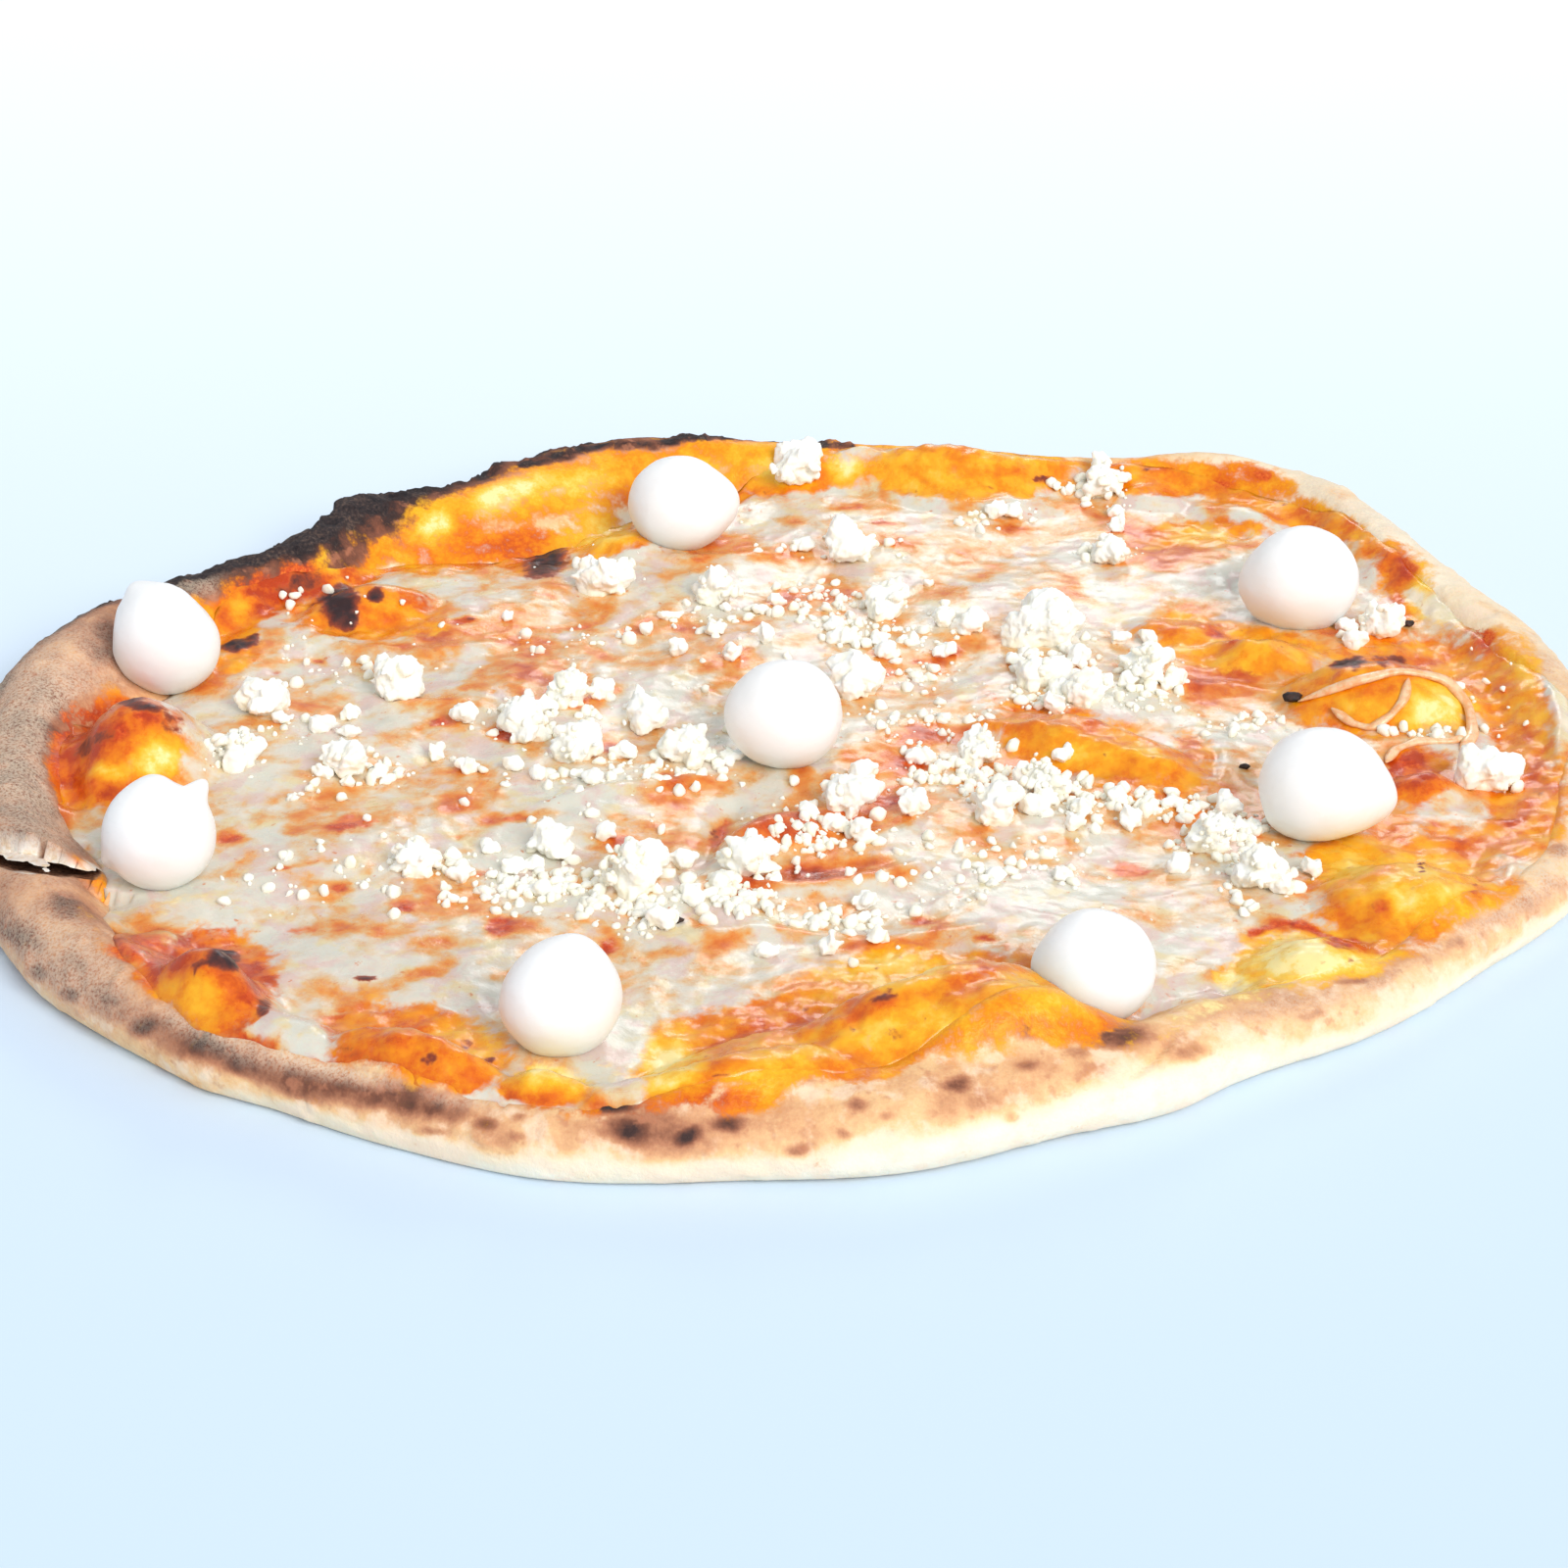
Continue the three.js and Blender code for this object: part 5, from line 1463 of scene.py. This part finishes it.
def build_lumps(material):
    for number, (x, y, width) in enumerate(LUMPS):
        rng = np.random.default_rng(LUMP_SEED + number)
        height = width * rng.uniform(0.78, 0.95)
        points, faces = clump(rng, width, height, int(7 + 0.9 * width), (0.06, 0.13))
        points, faces = remeshed(points, faces, LUMP_VOXEL)
        own = points + 31 * number
        push = 0.4 * noise(own, 3.4, 301, 3) + 0.4 * ridges(own, 2.4, 303) - 0.2
        points += push[:, None] * points / np.linalg.norm(points, axis=1)[:, None]
        points += jostle(own, 1.6, 0.22)
        ground = ground_at(x, y)
        points += np.array([x, y, ground + (1 - LUMP_SINK) * height / 2])
        # Creamier towards the foot: oil soaked up, and painted shade low on the lump.
        low = smooth((ground + 0.34 * height - points[:, 2]) / (0.4 * height))
        piece = make_piece(
            f"curd_lump_{number + 1}", points, faces, material,
            "crumbled_cheese", [f"cheese_lump_{number + 1}"])
        set_values(piece, low=low * LUMP_LOW)


def fused_crumb_places():
    """The crumbs of the solids' melted cheese, drawn as they are there."""
    draw = whole_number_draws(CRUMB_SEED)
    taken = [(x, y, half) for x, y, _, half, _ in BALLS]
    taken += [(x, y, 0.62 * width) for x, y, width in LUMPS]
    crumbs = []
    for px, py, spread, count in CRUMB_PATCHES:
        placed = 0
        for _ in range(CRUMB_TRIES):
            if placed == count:
                break
            bearing = 2 * math.pi * next(draw)
            away = spread * math.sqrt(next(draw))
            x, y = px + away * math.cos(bearing), py + away * math.sin(bearing)
            width = CRUMB_WIDTH[0] + (CRUMB_WIDTH[1] - CRUMB_WIDTH[0]) * next(draw) * next(draw)
            needed = 0.6 * width + CRUMB_CLEARANCE
            if any(math.hypot(x - tx, y - ty) < reach + needed for tx, ty, reach in taken):
                continue
            taken.append((x, y, width / 2))
            crumbs.append((x, y, width))
            placed += 1
    return crumbs


def clear_of_balls(x, y, reach):
    clear = np.ones(len(x), bool)
    for bx, by, _, half, _ in BALLS:
        clear &= np.hypot(x - bx, y - by) > 0.8 * half + reach
    return clear


def strewn_places(rng, column, share=1.0):
    """Points of the plan drawn in the strewn fields, thickest in the middle of each."""
    across, down = [], []
    for field in STREWN:
        cx, cy, half_width, half_height = field[:4]
        count = round(share * field[column])
        turn = rng.uniform(0, 2 * np.pi, count)
        away = np.sqrt(rng.uniform(0, 1, count)) * rng.uniform(0.45, 1.15, count)
        across.append(cx + half_width * away * np.cos(turn))
        down.append(cy + half_height * away * np.sin(turn))
    x, y, _ = plan_place(np.concatenate(across), np.concatenate(down))
    inside = np.hypot(x, y) < cheese_edge(np.arctan2(y, x)) - 2
    return x[inside], y[inside]


MEDIUM_SEED = 5100
MEDIUM_VOXEL = 0.36
MEDIUM_SHARE = 0.6  # the share of the strewn crumbs that is made
FINE_SEED = 5200
FINEST = 1.4  # crumbs below this width are plain grains


def build_medium_crumbs(material):
    rng = np.random.default_rng(MEDIUM_SEED)
    places = fused_crumb_places()
    x, y = strewn_places(rng, STREWN_MEDIUM, MEDIUM_SHARE)
    widths = 2.4 + 3.2 * rng.random(len(x)) ** 1.6
    clear = clear_of_balls(x, y, 1.0)
    places += list(zip(x[clear], y[clear], widths[clear]))
    parts = []
    for x, y, width in places:
        height = width * rng.uniform(0.6, 0.95)
        points, faces = clump(rng, width, height, int(4 + 0.7 * width), (0.1, 0.18))
        middle = ground_at(x, y) + 0.5 * height - 0.22 * CRUMB_BITE * width / 5
        parts.append((points + np.array([x, y, middle]), faces))
    points, faces = remeshed(*gathered(parts), MEDIUM_VOXEL)
    points += jostle(points, 1.5, 0.34)
    floor = surface_top(points[:, 0], points[:, 1])
    piece = make_piece("curd_crumbs", points, faces, material, "crumbled_cheese")
    # The same creamy foot: oil soaked up, and painted shade just above the cheese.
    set_values(piece, low=0.7 * smooth((floor + 1.2 - points[:, 2]) / 2.0))


def build_fine_crumbs(material):
    rng = np.random.default_rng(FINE_SEED)
    x, y = strewn_places(rng, STREWN_FINE)
    keep = clear_of_balls(x, y, 0.0)
    x, y = x[keep], y[keep]
    widths = 0.8 + 2.3 * rng.random(len(x)) ** 2.3
    ground = surface_top(x, y)
    for lump_x, lump_y, width in LUMPS:
        near = np.hypot(x - lump_x, y - lump_y) / (width / 2)
        on_lump = ground + 0.6 * width * np.sqrt(np.maximum(1 - near**2, 0))
        ground = np.where(near < 0.9, on_lump, ground)
    parts = []
    for px, py, pz, width in zip(x, y, ground, widths):
        turn = rng.uniform(0, 2 * np.pi)
        if width < FINEST:
            shape = SMALL_POINTS * rng.uniform(0.7, 1.2, (len(SMALL_POINTS), 1))
            faces = SMALL_FACES
        else:
            shape, faces = chunk(rng, GRAIN_POINTS), GRAIN_FACES
        shape = shape * (width / 2) * rng.uniform(0.75, 1.25, 3)
        c, s = math.cos(turn), math.sin(turn)
        along, side = shape[:, 0] * c - shape[:, 1] * s, shape[:, 0] * s + shape[:, 1] * c
        spun = np.stack([along, side, shape[:, 2]], 1)
        parts.append((spun + np.array([px, py, pz + 0.26 * width]), faces))
    points, faces = gathered(parts)
    piece = make_piece("curd_fine_crumbs", points, faces, material, "crumbled_cheese")
    set_values(piece, low=np.full(len(points), 0.25))


# ---------------------------------------------------------------- strings and specks
def tube(path, radius, sides=10, steps=70):
    """A closed tube along a smooth curve through the points, thinner at both ends."""
    path = np.asarray(path, float)
    knots = np.linspace(0, 1, len(path))
    t = np.linspace(0, 1, steps)
    line = np.stack([np.interp(t, knots, path[:, axis]) for axis in range(3)], 1)
    for _ in range(12):
        line[1:-1] = 0.25 * line[:-2] + 0.5 * line[1:-1] + 0.25 * line[2:]
    ahead = np.gradient(line, axis=0)
    ahead /= np.linalg.norm(ahead, axis=1, keepdims=True)
    side = np.cross(ahead, [0, 0, 1.0])
    side /= np.linalg.norm(side, axis=1, keepdims=True)
    up = np.cross(side, ahead)
    turn = np.arange(sides) * 2 * np.pi / sides
    tapered = np.sqrt(np.clip(np.minimum(t, 1 - t) * 12, 0.03, 1))
    thick = radius * (0.75 + 0.3 * np.sin(9 * t) ** 2) * tapered
    across = side[:, None] * np.cos(turn)[None, :, None]
    ring = across + 0.7 * up[:, None] * np.sin(turn)[None, :, None]
    points = (line[:, None] + ring * thick[:, None, None]).reshape(-1, 3)
    i = np.arange(sides)
    j = (i + 1) % sides
    faces = [np.stack([k * sides + i, k * sides + j, (k + 1) * sides + j, (k + 1) * sides + i], 1)
             for k in range(steps - 1)]
    ends = [list(range(sides))[::-1], [(steps - 1) * sides + k for k in range(sides)]]
    return points, np.vstack(faces).tolist() + ends


def build_strings(material):
    paths = [(tuple(zip(*STRING)), 1.3)]
    for marks in STRINGS.values():
        x, y, _ = plan_place(*np.array(marks, float).T)
        paths.append(((x, y), 1.05))
    points, faces, start = [], [], 0
    for (x, y), radius in paths:
        x, y = np.array(x, float), np.array(y, float)
        z = surface_top(x, y) + 0.6 * radius
        tube_points, tube_faces = tube(np.stack([x, y, z], 1), radius)
        faces += [[v + start for v in face] for face in tube_faces]
        points.append(tube_points)
        start += len(tube_points)
    points = np.vstack(points)
    points[:, 2] = np.maximum(points[:, 2], surface_top(points[:, 0], points[:, 1]) - 0.3)
    make_piece("cheese_strings", points, faces, material, "melted_cheese")


def build_specks(material):
    parts = []
    for index, (across, down, width) in enumerate(BLACK_SPECKS.values()):
        x, y, z = plan_place(np.array([across]), np.array([down]))
        shape = GRAIN_POINTS * (1 + 0.5 * noise(GRAIN_POINTS * 3, 1.6, 400 + index, 2))[:, None]
        shape = shape * width / 2 * np.array([1, 0.7, 0.5])
        parts.append((shape * 0.6 + np.array([x[0], y[0], z[0] + 0.2 * width]), GRAIN_FACES))
    make_piece("charred_specks", *gathered(parts), material, "baked_dough")


# ---------------------------------------------------------------- stage, light and camera
FLOOR_HALF = 6.0
SKY_STRENGTH = 0.66
KEY_POWER = 2.35
KEY_WIDTH = 32  # degrees that the key light spans in the sky
KEY_TURNS = (54, 0, 30)
GLINT_POWER = 3.5
GLINT_SIZE = 0.5
GLINT_PLACE = (0.15, 1.5, 0.85)


def build_stage():
    mesh = bpy.data.meshes.new("floor")
    corners = [(-1, -1), (1, -1), (1, 1), (-1, 1)]
    mesh.from_pydata([(FLOOR_HALF * x, FLOOR_HALF * y, 0) for x, y in corners], [], [(0, 1, 2, 3)])
    floor = bpy.data.objects.new("floor", mesh)
    bpy.context.scene.collection.objects.link(floor)
    s = Shader("pale_floor")
    split = s.node("SeparateXYZ")
    s.feed(split.inputs[0], s.place)
    # Painted light: the floor is pale blue in front and painted whiter towards the back, where more
    # light falls.
    light_falloff = s.between(Value(s, split.outputs["Y"]), -0.35, 0.9)
    s.set(Base_Color=s.mix(light_falloff, colour(212, 231, 252), colour(250, 255, 255)), Roughness=0.7)
    s.set(Specular_IOR_Level=0.1)
    mesh.materials.append(s.material)


def add_light(name, kind, power, tint):
    light = bpy.data.lights.new(name, kind)
    light.energy = power
    light.color = tint
    lamp = bpy.data.objects.new(name, light)
    bpy.context.scene.collection.objects.link(lamp)
    return light, lamp


def build_light_and_camera():
    scene = bpy.context.scene
    world = bpy.data.worlds.new("studio")
    world.use_nodes = True
    background = world.node_tree.nodes["Background"]
    background.inputs["Color"].default_value = (0.9, 0.95, 1.0, 1)
    background.inputs["Strength"].default_value = SKY_STRENGTH
    scene.world = world
    sun, key = add_light("key", "SUN", KEY_POWER, (1.0, 0.98, 0.95))
    sun.angle = math.radians(KEY_WIDTH)
    key.rotation_euler = [math.radians(turn) for turn in KEY_TURNS]
    disk, glint = add_light("glint", "AREA", GLINT_POWER, (1.0, 1.0, 1.0))
    disk.shape = "DISK"
    disk.size = GLINT_SIZE
    glint.location = GLINT_PLACE
    glint.rotation_euler = (-Vector(GLINT_PLACE)).to_track_quat("-Z", "Y").to_euler()
    scene.view_settings.view_transform = "Standard"
    scene.view_settings.look = "None"
    lens = bpy.data.cameras.new("camera")
    lens.lens = LENS
    lens.sensor_width = SENSOR
    camera = bpy.data.objects.new("camera", lens)
    scene.collection.objects.link(camera)
    camera.location = CAMERA / 1000
    camera.rotation_euler = (math.radians(CAMERA_TILT), 0, 0)
    scene.camera = camera


build_light_and_camera()
build_stage()
build_crust(crust_material())
build_cheese(cheese_material())
build_balls(mozzarella_material())
curd = curd_material()
build_lumps(curd)
build_medium_crumbs(curd)
build_fine_crumbs(curd)
build_strings(string_material())
build_specks(speck_material())
